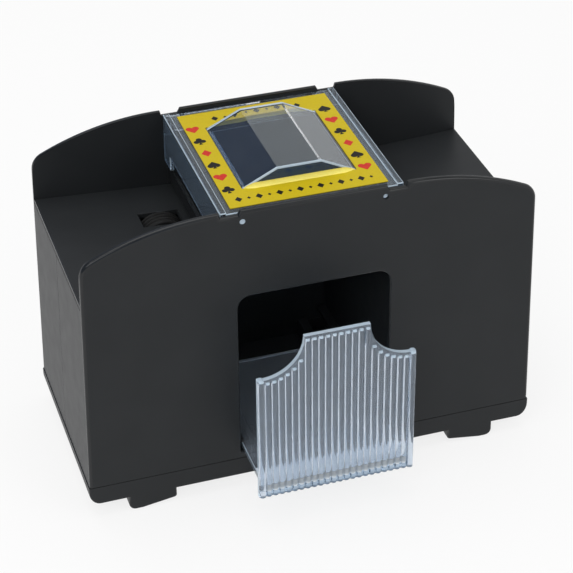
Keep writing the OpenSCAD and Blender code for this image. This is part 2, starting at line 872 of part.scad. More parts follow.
module roller_gear(side) {
    color(nylon_white)
        on_side(side)
            difference() {
                gear(roller_x, roller_z, roller_teeth, roller_turn, gear_y0, gear_y0 + gear_w);
                rod_y(roller_x, roller_z, shaft_r + press_gap, gear_y0 - eps, gear_y0 + gear_w + eps);
            }
}

module compound_gear(side) {
    color(nylon_white)
        on_side(side)
            difference() {
                union() {
                    gear(idler_x, idler_z, small_teeth, small_turn, gear_y0 - 1, large_y0 + eps);
                    gear(idler_x, idler_z, large_teeth, large_turn, large_y0, large_y0 + large_w);
                }
                rod_y(idler_x, idler_z, shaft_r + run_gap, gear_y0 - 2, large_y0 + large_w + eps);
            }
}

// Motor: flat-sided can with a boss in the rear cheek, end cap in front, shaft and pinion behind.
module motor_section() {
    intersection() {
        circle(r = motor_r);
        square([3 * motor_r, motor_flat_w], center = true);
    }
}

motor_y0 = rear_cheek_y - motor_can_len;
cap_bore = motor_cap_len - 1;
module motor_can(side) {
    color(steel_grey)
        on_side(side)
            difference() {
                union() {
                    along_y(motor_y0, rear_cheek_y)
                        translate([motor_x, motor_z])
                            motor_section();
                    rod_y(motor_x, motor_z, motor_boss_r, rear_cheek_y - eps, rear_cheek_y + motor_boss_len);
                }
                rod_y(motor_x, motor_z, motor_shaft_r + run_gap, motor_y0 - eps, cheek_back);
                for (x = [-motor_screw_reach, motor_screw_reach])
                    rod_y(motor_x + x, motor_z, motor_screw_r + press_gap,
                        rear_cheek_y - motor_screw_len, rear_cheek_y + eps);
            }
}

module motor_cap(side) {
    color(nylon_white)
        on_side(side)
            difference() {
                along_y(motor_y0 - motor_cap_len, motor_y0)
                    translate([motor_x, motor_z])
                        motor_section();
                rod_y(motor_x, motor_z, motor_shaft_r + run_gap, motor_y0 - cap_bore, motor_y0 + eps);
            }
}

motor_screw_len = 3;
motor_head_r = 1.5;
motor_head_h = 1.1;
module motor_screws(side) {
    y = cheek_back;
    color(steel_grey)
        on_side(side)
            for (x = [motor_x - motor_screw_reach, motor_x + motor_screw_reach]) {
                rod_y(x, motor_z, motor_screw_r, rear_cheek_y - motor_screw_len + 0.4, y + eps);
                rod_y(x, motor_z, motor_head_r, y, y + motor_head_h);
            }
}

module motor_shaft(side) {
    color(steel_grey)
        on_side(side)
            rod_y(motor_x, motor_z, motor_shaft_r, motor_y0 - cap_bore + 0.4, large_y0 + large_w + 0.8);
}

module pinion(side) {
    color("peru")
        on_side(side)
            difference() {
                gear(motor_x, motor_z, pinion_teeth, pinion_turn, large_y0 - 0.6, large_y0 + large_w + 0.6);
                rod_y(motor_x, motor_z, motor_shaft_r + press_gap, large_y0 - 2, large_y0 + large_w + 2);
            }
}

// Solder tabs of the motors and the switch.
strip_t = 0.5;
strip_w = 2;
strip_len = 4;
strip_reach = 5.5;
switch_tab_xs = [switch_face - 7.5, switch_face - 3];
switch_top = button_z + switch_h / 2;
module solder_tabs() {
    y = motor_y0 - motor_cap_len;
    color("gold") {
        for (side = [LEFT, RIGHT], x = [-strip_reach, strip_reach])
            on_side(side)
                box([motor_x + x - strip_w / 2, y - strip_len, motor_z - strip_t / 2],
                    [motor_x + x + strip_w / 2, y, motor_z + strip_t / 2]);
        for (x = switch_tab_xs)
            box([x - strip_t / 2, -button_y - strip_w / 2, switch_top],
                [x + strip_t / 2, -button_y + strip_w / 2, switch_top + strip_len]);
    }
}

// Button cap with a flange behind the wall and a stem in the switch.
module push_button() {
    tip = half_at(button_z) + button_proud;
    color("firebrick") {
        rod_x(-button_y, button_z, button_r, button_back, tip);
        rod_x(-button_y, button_z, button_flange_r, button_back, button_back + button_flange_t);
        rod_x(-button_y, button_z, stem_r, stem_end, button_back + eps);
    }
}

module power_switch() {
    back = switch_face - switch_len;
    color("dimgray")
        difference() {
            box([back, -button_y - switch_w / 2, button_z - switch_h / 2],
                [switch_face, -button_y + switch_w / 2, switch_top]);
            rod_x(-button_y, button_z, stem_r + run_gap, stem_end - button_travel - eps, switch_face + eps);
        }
}

// A lead: a round tube with mitred bends along a list of points.
lead_r = 0.7;
lead_sides = 6;
function unit(v) = v / norm(v);
function lead_ahead(p, i) = unit(p[min(i + 1, len(p) - 1)] - p[max(i - 1, 0)]);
function lead_across(d) = unit(cross(d, abs(d[2]) < 0.8 ? [0, 0, 1] : [1, 0, 0]));
function lead_ring(p, i) =
    let (d = lead_ahead(p, i), u = lead_across(d), v = cross(d, u))
    [for (k = [0:lead_sides - 1]) let (e = ray(k * 360 / lead_sides)) p[i] + lead_r * (u * e[0] + v * e[1])];

module lead(p) {
    n = len(p);
    points = [for (i = [0:n - 1]) each lead_ring(p, i)];
    quads = [for (i = [0:n - 2], k = [0:lead_sides - 1])
        let (a = i * lead_sides + k, b = i * lead_sides + (k + 1) % lead_sides)
        each [[a, a + lead_sides, b], [b, a + lead_sides, b + lead_sides]]];
    caps = [
        [for (k = [0:lead_sides - 1]) k],
        [for (k = [lead_sides - 1:-1:0]) (n - 1) * lead_sides + k]
    ];
    polyhedron(points, concat(quads, caps));
}

// Lead routes, between the tabs of the battery boxes, motors and switch; two cross under the tray.
joint_gap = 0.2;
lead_rise = 6;
tab_top = bay_roof_z + bay_wall + tab_h + joint_gap;
tab_x = bay_x1 - leaf_t / 2;
motor_tab_y = motor_y0 - motor_cap_len - strip_len - joint_gap;
cross_z = base_top + lead_r + joint_gap;
cross_half = 0.9;
drop_inset = 23.5;
drop_x = body_len / 2 - drop_inset;
drop_z = 58;
drop_y = cross_y - 2;
function bay_end(side, y) = [side * tab_x, y, tab_top];
function motor_end(side, x) = [side * (motor_x + x), motor_tab_y, motor_z];
function switch_end(i, y) = [switch_tab_xs[i], y - button_y, switch_top + strip_len + joint_gap];
function above(p) = p + [0, 0, lead_rise];
function before(p) = p - [0, lead_rise, 0];
function crossing(x, y) = [
    [x, drop_y, drop_z],
    [x, y, cross_z + lead_rise],
    [x - lead_rise, y, cross_z],
    [lead_rise - x, y, cross_z],
    [-x, y, cross_z + lead_rise]
];

module red_leads() {
    feed = bay_end(RIGHT, -cell_pitch / 2);
    far_feed = bay_end(LEFT, -cell_pitch / 2);
    motor = motor_end(RIGHT, strip_reach);
    far_motor = motor_end(LEFT, strip_reach);
    in = switch_end(0, cross_half);
    far_in = switch_end(0, -cross_half);
    out = switch_end(1, cross_half);
    far_out = switch_end(1, -cross_half);
    near_x = drop_x - 2 * cross_half;
    color("red") {
        lead([feed, above(feed), [drop_x, -button_y, tab_top + lead_rise], [drop_x, -button_y, switch_top],
            above(in), in]);
        lead([out, above(out), [drop_x, -cell_pitch / 2, switch_top], before(motor), motor]);
        lead(concat(
            [far_in, above(far_in), [drop_x, drop_y, switch_top]],
            crossing(drop_x, cross_y - cross_half),
            [[-drop_x, drop_y, tab_top], above(far_feed), far_feed]
        ));
        lead(concat(
            [far_out, above(far_out), [near_x, drop_y, switch_top + lead_rise]],
            crossing(near_x, cross_y + cross_half),
            [[-near_x, drop_y, drop_z], before(far_motor), far_motor]
        ));
    }
}

module black_leads() {
    feed = bay_end(RIGHT, cell_pitch / 2);
    motor = motor_end(RIGHT, -strip_reach);
    low = before(motor) - [0, 0, lead_rise];
    color("black")
        for (side = [LEFT, RIGHT])
            on_side(side)
                lead([feed, above(feed), [drop_x, 0, tab_top + lead_rise], low, before(motor), motor]);
}

module shell_screws() {
    color(steel_grey)
        for (x = [-post_x, post_x], z = post_zs) {
            rod_y(x, z, screw_r, -screw_grip, well_y + eps);
            rod_y(x, z, screw_head_r, well_y, well_y + screw_head_h);
        }
}

module base_screws() {
    color(steel_grey)
        for (x = [-boss_x, boss_x], y = [-boss_y, boss_y])
            translate([x, y, base_screw_z - screw_head_h]) {
                cylinder(h = screw_head_h, r = screw_head_r);
                cylinder(h = screw_head_h + seam_z - base_screw_z + screw_grip, r = screw_r);
            }
}

// Lid: sheet with a hollow roof-shaped dome, rims, side skirts with corner legs, flanges and pins.
lid_half = lid_len / 2;
lid_half_y = inner_y - lid_gap;
flange_drop = 6.3;
flange_z = lid_pin_z - flange_drop;
rim_w = 3;
rim_h = 0.6;
module dome_outline(inset) {
    rise = dome_h - inset;
    polygon([
        [-dome_len / 2 + inset, lid_z - lid_t - eps], [dome_len / 2 - inset, lid_z - lid_t - eps],
        [dome_len / 2 - inset, lid_z], [dome_ridge_len / 2 - inset / 3, lid_z + rise],
        [-dome_ridge_len / 2 + inset / 3, lid_z + rise], [-dome_len / 2 + inset, lid_z]
    ]);
}

// Side skirt seen along X: a strip with a leg at each end.
module skirt_outline() {
    inner = lid_half_y - leg_depth;
    polygon([
        [-lid_half_y, lid_z - lid_t / 2], [-lid_half_y, leg_z], [-inner, leg_z], [-inner, skirt_z],
        [inner, skirt_z], [inner, leg_z], [lid_half_y, leg_z], [lid_half_y, lid_z - lid_t / 2]
    ]);
}

module clear_lid() {
    color(clear_plastic)
        difference() {
            union() {
                box([-lid_half, -lid_half_y, lid_z - lid_t], [lid_half, lid_half_y, lid_z]);
                intersection() {
                    along_y(-dome_depth / 2, dome_depth / 2)
                        dome_outline(0);
                    box([-lid_half, -lid_half_y, lid_z - lid_t],
                        [lid_half, lid_half_y, lid_z + dome_h + eps]);
                }
                for (side = [LEFT, RIGHT])
                    on_side(side) {
                        box([lid_half - rim_w, -lid_half_y, lid_z - lid_t / 2],
                            [lid_half, lid_half_y, lid_z + rim_h]);
                        translate([lid_half - lid_t, 0, 0])
                            rotate([90, 0, 90])
                                linear_extrude(lid_t)
                                    skirt_outline();
                        for (y = [-lid_half_y, lid_half_y - lid_t])
                            box([0, y, flange_z], [lid_half - lid_t / 2, y + lid_t, lid_z - lid_t / 2]);
                    }
                for (end = [-1, 1])
                    at_end(end) {
                        rod_y(-lid_pin_x, lid_pin_z, lid_pin_r,
                            lid_half_y - lid_t / 2, body_depth / 2 - lid_gap);
                        rod_y(lid_pin_x, lid_pin_z, lid_pin_r,
                            lid_half_y - lid_t / 2, lid_half_y + lid_gap / 2);
                    }
            }
            along_y(-dome_depth / 2 + lid_t, dome_depth / 2 - lid_t)
                dome_outline(lid_t);
        }
}

module lid_label() {
    window_gap = 0.3;
    color(label_yellow)
        difference() {
            box([-label_len / 2, -label_depth / 2, lid_z],
                [label_len / 2, label_depth / 2, lid_z + label_t]);
            box([-dome_len / 2 - window_gap, -dome_depth / 2 - window_gap, lid_z - eps],
                [dome_len / 2 + window_gap, dome_depth / 2 + window_gap, lid_z + label_t + eps]);
        }
}

// Tray: floor plate and a front plate with scalloped shoulders and half-round ribs.
scallop_r = tray_top_z - tray_side_z;
scallop_x = tray_top_w / 2 + scallop_r;
function tray_edge_z(x) =
    abs(x) <= tray_top_w / 2 ? tray_top_z
    : abs(x) >= scallop_x ? tray_side_z
    : tray_top_z - sqrt(pow(scallop_r, 2) - pow(scallop_x - abs(x), 2));
plate_edge = concat(
    [[tray_w / 2, tray_low_z], [tray_w / 2, tray_side_z]],
    arc([scallop_x, tray_top_z], scallop_r, 270, 180, 12)
);
rib_drop = 1.2;
rib_foot = 0.4;
post_rise = 0.5;

// A rib or post with a rounded top.
module tray_rib(x, r, low, top) {
    translate([x, tray_face_y, low])
        cylinder(h = top - r - low, r = r);
    translate([x, tray_face_y, top - r])
        sphere(r = r);
}

module card_tray() {
    color(clear_plastic)
        union() {
            along_y(tray_face_y, tray_back_y)
                polygon(concat(plate_edge, flip(plate_edge)));
            box([-tray_floor_w / 2, tray_back_y - tray_t / 2, tray_floor_z],
                [tray_floor_w / 2, tray_back_y + tray_floor_len, tray_floor_top]);
            intersection() {
                union() {
                    for (i = [0:tray_ribs - 1]) {
                        x = (i - (tray_ribs - 1) / 2) * tray_rib_pitch;
                        tray_rib(x, tray_rib_r, tray_low_z + rib_foot,
                            tray_edge_z(abs(x) + tray_rib_r) - rib_drop);
                    }
                    for (x = [-1, 1] * (tray_w - tray_post_w) / 2)
                        tray_rib(x, tray_post_w / 2, tray_low_z, tray_side_z + post_rise);
                }
                box([-tray_w, tray_face_y - tray_post_w, 0], [tray_w, tray_face_y + tray_t / 2, tray_top_z]);
            }
        }
}

front_shell();
rear_shell();
base_cover();
feed_deck(LEFT);  // left_feed_deck
feed_deck(RIGHT);  // right_feed_deck
gate(LEFT);  // left_gate
gate(RIGHT);  // right_gate
bushes(LEFT);  // left_bushes
bushes(RIGHT);  // right_bushes
gear_axle(LEFT);  // left_gear_axle
gear_axle(RIGHT);  // right_gear_axle
motor_can(LEFT);  // left_motor_can
motor_can(RIGHT);  // right_motor_can
motor_cap(LEFT);  // left_motor_cap
motor_cap(RIGHT);  // right_motor_cap
motor_screws(LEFT);  // left_motor_screws
motor_screws(RIGHT);  // right_motor_screws
solder_tabs();
battery_cells();
battery_contacts();
power_switch();
red_leads();
black_leads();
shell_screws();
base_screws();
clear_lid();
lid_label();
card_tray();
roller_shaft(LEFT);  // left_roller_shaft
roller_core(LEFT);  // left_roller_core
roller_tyres(LEFT);  // left_roller_tyres
roller_gear(LEFT);  // left_roller_gear
roller_shaft(RIGHT);  // right_roller_shaft
roller_core(RIGHT);  // right_roller_core
roller_tyres(RIGHT);  // right_roller_tyres
roller_gear(RIGHT);  // right_roller_gear
compound_gear(LEFT);  // left_compound_gear
compound_gear(RIGHT);  // right_compound_gear
motor_shaft(LEFT);  // left_motor_shaft
pinion(LEFT);  // left_pinion
motor_shaft(RIGHT);  // right_motor_shaft
pinion(RIGHT);  // right_pinion
push_button();
battery_door(LEFT);  // left_battery_door
battery_door(RIGHT);  // right_battery_door
battery_box(LEFT);  // left_battery_box
battery_box(RIGHT);  // right_battery_box
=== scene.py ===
"""Looks of the automatic card shuffler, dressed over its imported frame."""

import logging
import math
from collections.abc import Callable, Iterable, Sequence
from dataclasses import dataclass
from enum import Enum
from functools import cache
from itertools import product

import bmesh
import bpy
from bmesh.types import BMEdge, BMesh, BMFace, BMVert
from bpy.types import Material, Node, NodeSocket, NodeTree
from mathutils import Matrix, Vector


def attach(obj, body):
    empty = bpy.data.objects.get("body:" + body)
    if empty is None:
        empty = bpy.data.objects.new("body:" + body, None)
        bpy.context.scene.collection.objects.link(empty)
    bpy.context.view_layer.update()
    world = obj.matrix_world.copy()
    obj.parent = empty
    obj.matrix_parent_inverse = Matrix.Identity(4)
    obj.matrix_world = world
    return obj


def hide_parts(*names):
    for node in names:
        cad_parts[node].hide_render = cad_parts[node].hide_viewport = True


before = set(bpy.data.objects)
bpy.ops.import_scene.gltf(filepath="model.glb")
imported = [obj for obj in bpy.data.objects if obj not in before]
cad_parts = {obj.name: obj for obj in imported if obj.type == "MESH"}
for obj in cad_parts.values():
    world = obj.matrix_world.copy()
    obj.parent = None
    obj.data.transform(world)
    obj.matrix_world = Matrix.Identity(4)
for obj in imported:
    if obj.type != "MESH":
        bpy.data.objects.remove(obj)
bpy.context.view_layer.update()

Colour = tuple[float, float, float]
Point = tuple[float, float, float]
Span = tuple[float, float]
Value = NodeSocket | float | Sequence[float]
Pick = Callable[[Vector, Vector], bool]

LOG = logging.getLogger("shuffler")
MM = 0.001
WELD = 2e-6
FLAT_ANGLE = math.radians(0.3)
CORNER_ANGLE = math.radians(32)
Y, Z = 1, 2
SIDES = {"left": -1, "right": 1}

# Places in a piece's list of finishes. The finish at EDGED is painted light: darker charcoal as
# painted shade on rounded edges, or paler, less clear plastic as painted highlight on clear edges.
PLAIN, EDGED = 0, 1

# Places in the body, in millimetres: X and Z of the lid's holes and of the wells in the rear
# wall, and X and Y of the wells in the base.
PIN_HOLE = (31.1, 137.7)
SHELL_WELLS = tuple(product((-91, 91), (56, 97)))
BASE_WELLS = tuple(product((-94, 94), (-39.5, 39.5)))


class Slot(Enum):
    """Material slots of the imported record, for new pieces."""

    CHARCOAL = "charcoal_plastic"
    CLEAR = "clear_plastic"
    LABEL = "label_print"
    RUBBER = "black_rubber"
    SLEEVE = "cell_sleeve"
    RED = "red_plastic"
    BLACK = "black_plastic"
    STEEL = "steel"


def srgb(*screen: int) -> Colour:
    """Turn red, green and blue from 0 to 255 into the linear colour that a shader takes."""
    shares = (value / 255 for value in screen)
    return tuple(s / 12.92 if s <= 0.04045 else ((s + 0.055) / 1.055) ** 2.4 for s in shares)


def plug(tree: NodeTree, into: NodeSocket, value: Value) -> None:
    """Link an input to a socket, or set it to a plain value.

    Args:
        tree: The node tree.
        into: The input.
        value: The socket or value.
    """
    if isinstance(value, NodeSocket):
        tree.links.new(value, into)
    else:
        into.default_value = value


def add_node(tree: NodeTree, kind: str, inputs: dict[str | int, Value] | None = None,
             **options: str) -> Node:
    """Add a node to a tree.

    Args:
        tree: The node tree.
        kind: The node's type, without the words that all types share.
        inputs: What its inputs are linked or set to.
        options: Its options.

    Returns:
        The node.
    """
    node = tree.nodes.new(f"ShaderNode{kind}")
    for name, option in options.items():
        setattr(node, name, option)
    for name, value in (inputs or {}).items():
        plug(tree, node.inputs[name], value)
    return node


def ranged(tree: NodeTree, value: NodeSocket, span: Span, ends: Span,
           smooth: bool = False) -> NodeSocket:
    """Add a change from one value to another.

    Args:
        tree: The node tree.
        value: What the change follows.
        span: Where it starts and stops.
        ends: The values there.
        smooth: Whether it starts and stops softly.

    Returns:
        The changing value.
    """
    names = ("From Min", "From Max", "To Min", "To Max")
    inputs = {"Value": value, **dict(zip(names, (*span, *ends)))}
    curve = "SMOOTHSTEP" if smooth else "LINEAR"
    return add_node(tree, "MapRange", inputs, interpolation_type=curve).outputs["Result"]


def combine(tree: NodeTree, operation: str, first: Value, second: Value) -> NodeSocket:
    """Work one value out of two, by a named operation."""
    return add_node(tree, "Math", {0: first, 1: second}, operation=operation).outputs[0]


def blend(tree: NodeTree, factor: NodeSocket, first: Value, second: Value) -> NodeSocket:
    """Add a mix of two values."""
    return add_node(tree, "Mix", {"Factor": factor, "A": first, "B": second}).outputs["Result"]


class Shader:
    """A material's node tree around one Principled surface."""

    value_span: Span = (0.3, 0.7)
    tint_span: Span = (0.32, 0.68)

    def __init__(self, name: str) -> None:
        """Start a material.

        Args:
            name: Its name.
        """
        self.material = bpy.data.materials.new(name)
        self.material.use_nodes = True
        self.tree = self.material.node_tree
        self.surface = self.tree.nodes["Principled BSDF"]
        self.place = add_node(self.tree, "TexCoord").outputs["Object"]

    def feed(self, values: dict[str, Value]) -> None:
        """Set inputs of the surface, or link them."""
        for name, value in values.items():
            plug(self.tree, self.surface.inputs[name], value)

    def noise(self, grain_mm: float, detail: float = 2.0, stretch: Point = (1, 1, 1)) -> NodeSocket:
        """Add a noise of a real grain size.

        Args:
            grain_mm: Size of the grain in millimetres.
            detail: How many finer layers it holds.
            stretch: How much tighter it is along each axis.

        Returns:
            The noise's value.
        """
        scale = [share / (grain_mm * MM) for share in stretch]
        place = add_node(self.tree, "Mapping", {"Vector": self.place, "Scale": scale}).outputs[0]
        inputs = {"Vector": place, "Scale": 1.0, "Detail": detail}
        return add_node(self.tree, "TexNoise", inputs).outputs["Fac"]

    def vary(self, factor: NodeSocket, ends: Span, name: str) -> None:
        """Drive an input of the surface from a noise, between two values."""
        self.feed({name: ranged(self.tree, factor, self.value_span, ends)})

    def tint(self, factor: NodeSocket, dark: Colour, light: Colour) -> None:
        """Drive the base colour from a noise.

        Args:
            factor: The noise.
            dark: The colour at its low end.
            light: The colour at its high end.
        """
        ramp = add_node(self.tree, "ValToRGB", {"Fac": factor})
        ends = zip(ramp.color_ramp.elements, self.tint_span, (dark, light))
        for end, place, colour in ends:
            end.position, end.color = place, (*colour, 1)
        self.feed({"Base Color": ramp.outputs["Color"]})

    def relief(self, height: NodeSocket, depth_mm: float, strength: float) -> None:
        """Raise the surface by a noise."""
        inputs = {"Height": height, "Distance": depth_mm * MM, "Strength": strength}
        self.feed({"Normal": add_node(self.tree, "Bump", inputs).outputs["Normal"]})


@dataclass(frozen=True)
class Moulded:
    """Opaque moulded plastic or rubber with a fine grain."""

    name: str
    dark: Colour
    light: Colour
    rough: Span
    specular: float = 0.3
    grain_mm: float = 0.4
    relief_mm: float = 0.02
    cloud_mm: float = 22.0

    def material(self) -> Material:
        """Build the material.

        Returns:
            The material.
        """
        shader = Shader(self.name)
        shader.feed({"Specular IOR Level": self.specular})
        shader.tint(shader.noise(self.cloud_mm, detail=4.0), self.dark, self.light)
        shader.vary(shader.noise(self.cloud_mm / 3, detail=3.0), self.rough, "Roughness")
        shader.relief(shader.noise(self.grain_mm), self.relief_mm, strength=0.25)
        return shader.material


@dataclass(frozen=True)
class Clear:
    """Clear moulded plastic with slight haze and flow marks."""

    name: str
    dark: Colour
    light: Colour
    clarity: Span
    rough: Span
    glint: Colour = (0.74, 0.87, 1.0)
    index: float = 1.53
    specular: float = 0.5
    haze_mm: float = 11.0
    smear_mm: float = 5.0
    flow_mm: float = 14.0
    flow: Point = (1, 0.4, 1)

    def material(self) -> Material:
        """Build the material.

        Returns:
            The material.
        """
        shader = Shader(self.name)
        shader.feed({"IOR": self.index, "Specular Tint": (*self.glint, 1),
                     "Specular IOR Level": self.specular})
        haze = shader.noise(self.haze_mm, detail=5.0)
        shader.tint(haze, self.dark, self.light)
        shader.vary(haze, self.clarity, "Transmission Weight")
        shader.vary(shader.noise(self.smear_mm, detail=4.0), self.rough, "Roughness")
        marks = shader.noise(self.flow_mm, stretch=self.flow)
        shader.relief(marks, depth_mm=0.05, strength=0.12)
        return shader.material


@dataclass(frozen=True)
class Printed:
    """Ink on a coated sheet."""

    name: str
    dark: Colour
    light: Colour
    gloss: float = 0.3
    rough: Span = (0.35, 0.5)
    specular: float = 0.12
    coat: float = 0.04
    speck_mm: float = 0.9
    smear_mm: float = 4.0
    grain_mm: float = 0.25

    def material(self) -> Material:
        """Build the material.

        Returns:
            The material.
        """
        shader = Shader(self.name)
        shader.feed({"Specular IOR Level": self.specular, "Coat Weight": self.coat,
                     "Coat Roughness": self.gloss})
        shader.tint(shader.noise(self.speck_mm, detail=6.0), self.dark, self.light)
        shader.vary(shader.noise(self.smear_mm, detail=4.0), self.rough, "Roughness")
        shader.relief(shader.noise(self.grain_mm), depth_mm=0.01, strength=0.15)
        return shader.material


@dataclass(frozen=True)
class Metal:
    """Plated or turned metal with fine tool marks."""

    name: str
    dark: Colour
    light: Colour
    rough: Span
    marks_mm: float = 6.0
    stretch: Point = (1, 14, 14)
    smear_mm: float = 3.0

    def material(self) -> Material:
        """Build the material.

        Returns:
            The material.
        """
        shader = Shader(self.name)
        shader.feed({"Metallic": 1.0})
        marks = shader.noise(self.marks_mm, 3.0, self.stretch)
        shader.tint(marks, self.dark, self.light)
        shader.vary(shader.noise(self.smear_mm, detail=3.0), self.rough, "Roughness")
        shader.relief(marks, depth_mm=0.01, strength=0.2)
        return shader.material


class Finish(Enum):
    """Every finish of the shuffler."""

    CHARCOAL = Moulded(
        "charcoal_satin", (0.0192, 0.0211, 0.0228), (0.0216, 0.0236, 0.0255), (0.42, 0.46),
        specular=0.2)
    # Rounded edges: darker than the faces as painted shade, and glossier.
    EDGE = Moulded(
        "charcoal_edge_painted_shade", (0.013, 0.0145, 0.016), (0.017, 0.0185, 0.020), (0.12, 0.17),
        specular=0.34, cloud_mm=18)
    CLEAR = Clear(
        "clear_styrene", (0.93, 0.965, 1.0), (0.95, 0.98, 1.0), (0.982, 0.991), (0.01, 0.03),
        glint=(0.62, 0.82, 1.0))
    # Paler, less clear copy of the clear plastic for edges, pin ends, rib tips and the dome's rear
    # band: painted highlight.
    CLEAR_EDGE = Clear(
        "clear_styrene_painted_highlight", (0.62, 0.76, 0.89), (0.68, 0.81, 0.93), (0.3, 0.4), (0.08, 0.16))
    # Bluish, half-clear copy of the clear plastic: painted light on the lid's side skirts, and
    # painted shade on the tray's lowest band.
    SKIRT = Clear(
        "clear_styrene_painted_light_and_shade", (0.32, 0.44, 0.58), (0.38, 0.50, 0.64), (0.77, 0.82), (0.02, 0.05))
    # Dark navy copy of the clear plastic on the dome's front gable: painted shade.
    SMOKY = Clear(
        "clear_styrene_painted_shade", (0.06, 0.12, 0.26), (0.09, 0.15, 0.31), (0.6, 0.66), (0.02, 0.05),
        specular=0.12)
    CLOUDY = Clear(
        "cloudy_styrene", (0.70, 0.79, 0.90), (0.76, 0.84, 0.94), (0.84, 0.9), (0.015, 0.06))
    # Paler, less clear copy for the band of the tray's plate level with its floor's front edge:
    # painted light.
    MILKY = Clear(
        "pale_styrene_painted_light", (0.66, 0.72, 0.77), (0.72, 0.78, 0.83), (0.48, 0.55), (0.05, 0.1))
    SHEET = Printed("yellow_sheet", srgb(193, 171, 19), srgb(199, 177, 23))
    # Paler, glossier yellow on the sheet's turned-up lips: painted highlight.
    LIP = Printed("yellow_sheet_lip_painted_highlight", srgb(243, 229, 112), srgb(247, 234, 126), gloss=0.1)
    RED_INK = Printed("red_ink", srgb(188, 44, 34), srgb(204, 56, 42))
    BLACK_INK = Printed("black_ink", srgb(20, 19, 17), srgb(30, 28, 24))
    NYLON = Moulded(
        "white_nylon", srgb(214, 212, 202), srgb(228, 226, 216), (0.42, 0.55), specular=0.45,
        cloud_mm=8)
    RUBBER = Moulded(
        "ground_rubber", (0.010, 0.010, 0.010), (0.018, 0.018, 0.018), (0.7, 0.85), specular=0.25,
        grain_mm=0.6, relief_mm=0.06, cloud_mm=5)
    BLACK = Moulded(
        "black_moulding", (0.010, 0.010, 0.011), (0.016, 0.016, 0.017), (0.38, 0.5), cloud_mm=7)
    RED = Moulded(
        "red_moulding", (0.33, 0.016, 0.012), (0.42, 0.022, 0.016), (0.22, 0.32), specular=0.45,
        cloud_mm=6)
    STEEL = Metal("plated_steel", srgb(168, 170, 174), srgb(204, 206, 210), (0.22, 0.36))
    BRASS = Metal("turned_brass", srgb(176, 140, 72), srgb(206, 170, 96), (0.25, 0.4))
    SLEEVE = Moulded(
        "cell_sleeve", srgb(28, 32, 40), srgb(36, 41, 50), (0.2, 0.3), specular=0.5, cloud_mm=12)
    SLEEVE_BAND = Moulded(
        "cell_sleeve_band", srgb(150, 104, 60), srgb(176, 126, 76), (0.25, 0.35), specular=0.5,
        cloud_mm=12)

    @cache
    def material(self) -> Material:
        """Build the finish's material, the first time it is asked for."""
        return self.value.material()


def copy_of(node: str) -> BMesh:
    """Copy a node's mesh, weld its triangles and merge those that lie flat.

    Args:
        node: Name of the node.

    Returns:
        The copy, as a mesh to work on.
    """
    bm = bmesh.new()
    bm.from_mesh(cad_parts[node].data)
    bmesh.ops.remove_doubles(bm, verts=bm.verts[:], dist=WELD)
    bmesh.ops.dissolve_limit(
        bm, angle_limit=FLAT_ANGLE, use_dissolve_boundaries=False, verts=bm.verts[:],
        edges=bm.edges[:], delimit=set())
    bm.normal_update()
    return bm


def round_edges(bm: BMesh, radius_mm: float, segments: int, pick: Pick, finish: int = EDGED,
                least: float = CORNER_ANGLE) -> None:
    """Round the sharp corners that a test picks.

    Args:
        bm: The mesh.
        radius_mm: Width of the rounding in millimetres.
        segments: Number of faces across it.
        pick: Test of an edge's two ends, in millimetres.
        finish: Material index of the new faces.
        least: Least angle of a sharp corner.
    """
    corners = [e for e in bm.edges if len(e.link_faces) == 2 and e.is_convex]
    sharp = [e for e in corners if e.calc_face_angle(0.0) > least]
    edges = [e for e in sharp if pick(*(v.co / MM for v in e.verts))]
    if edges:
        made = bmesh.ops.bevel(
            bm, geom=edges, offset=radius_mm * MM, offset_type="OFFSET", segments=segments,
            profile=0.5, affect="EDGES", clamp_overlap=False, material=-1, loop_slide=True)
        for face in made["faces"]:
            face.material_index = finish
        bm.normal_update()


def near(value: float, *targets: float, slack: float = 0.02) -> bool:
    """Tell whether a value is at one of the targets."""
    return any(abs(value - target) < slack for target in targets)


def both(a: Vector, b: Vector, axis: int, *targets: float) -> bool:
    """Tell whether both ends of an edge are at one of the targets along an axis."""
    return near(a[axis], *targets) and near(b[axis], *targets)


def only(items: Iterable[BMVert | BMEdge | BMFace], kind: type) -> list:
    """Pick the items of one kind out of what an operator made."""
    return [item for item in items if isinstance(item, kind)]


def seat(piece: bpy.types.Object, body: str, slot: Slot, replaces: Sequence[str]) -> None:
    """Put a piece in the scene, on its body.

    Args:
        piece: The piece.
        body: The body that carries it.
        slot: The record's material slot; not used.
        replaces: Nodes that it stands for.
    """
    bpy.context.scene.collection.objects.link(piece)
    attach(piece, body)
    if replaces:
        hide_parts(*replaces)


def make_piece(name: str, bm: BMesh, finishes: Iterable[Finish], body: str, slot: Slot,
               replaces: Sequence[str] = (), least: float = CORNER_ANGLE) -> None:
    """Turn a worked mesh into a piece that rides on a body.

    Args:
        name: Name of the piece.
        bm: The mesh, which is used up.
        finishes: Finishes by material index.
        body: The body that carries the piece.
        slot: The record's material slot.
        replaces: Nodes that the piece stands for.
        least: Least angle of an edge that shows as a crease.
    """
    bmesh.ops.dissolve_degenerate(bm, dist=WELD, edges=bm.edges[:])
    for face in bm.faces:
        face.smooth = True
    for edge in bm.edges:
        edge.smooth = len(edge.link_faces) == 2 and edge.calc_face_angle(0.0) < least
    mesh = bpy.data.meshes.new(name)
    bm.to_mesh(mesh)
    bm.free()
    for finish in finishes:
        mesh.materials.append(finish.material())
    piece = bpy.data.objects.new(name, mesh)
    piece.modifiers.new("flat_faces", "WEIGHTED_NORMAL").keep_sharp = True
    seat(piece, body, slot, replaces)
    LOG.info("%s: %d faces on %s", name, len(mesh.polygons), body)


def dress(finish: Finish, *nodes: str) -> None:
    """Give nodes that stay as they are a finish.

    Args:
        finish: The finish.
        nodes: Names of the nodes.
    """
    for node in nodes:
        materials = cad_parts[node].data.materials
        materials.clear()
        materials.append(finish.material())
        LOG.info("%s: dressed in %s", node, finish.value.name)


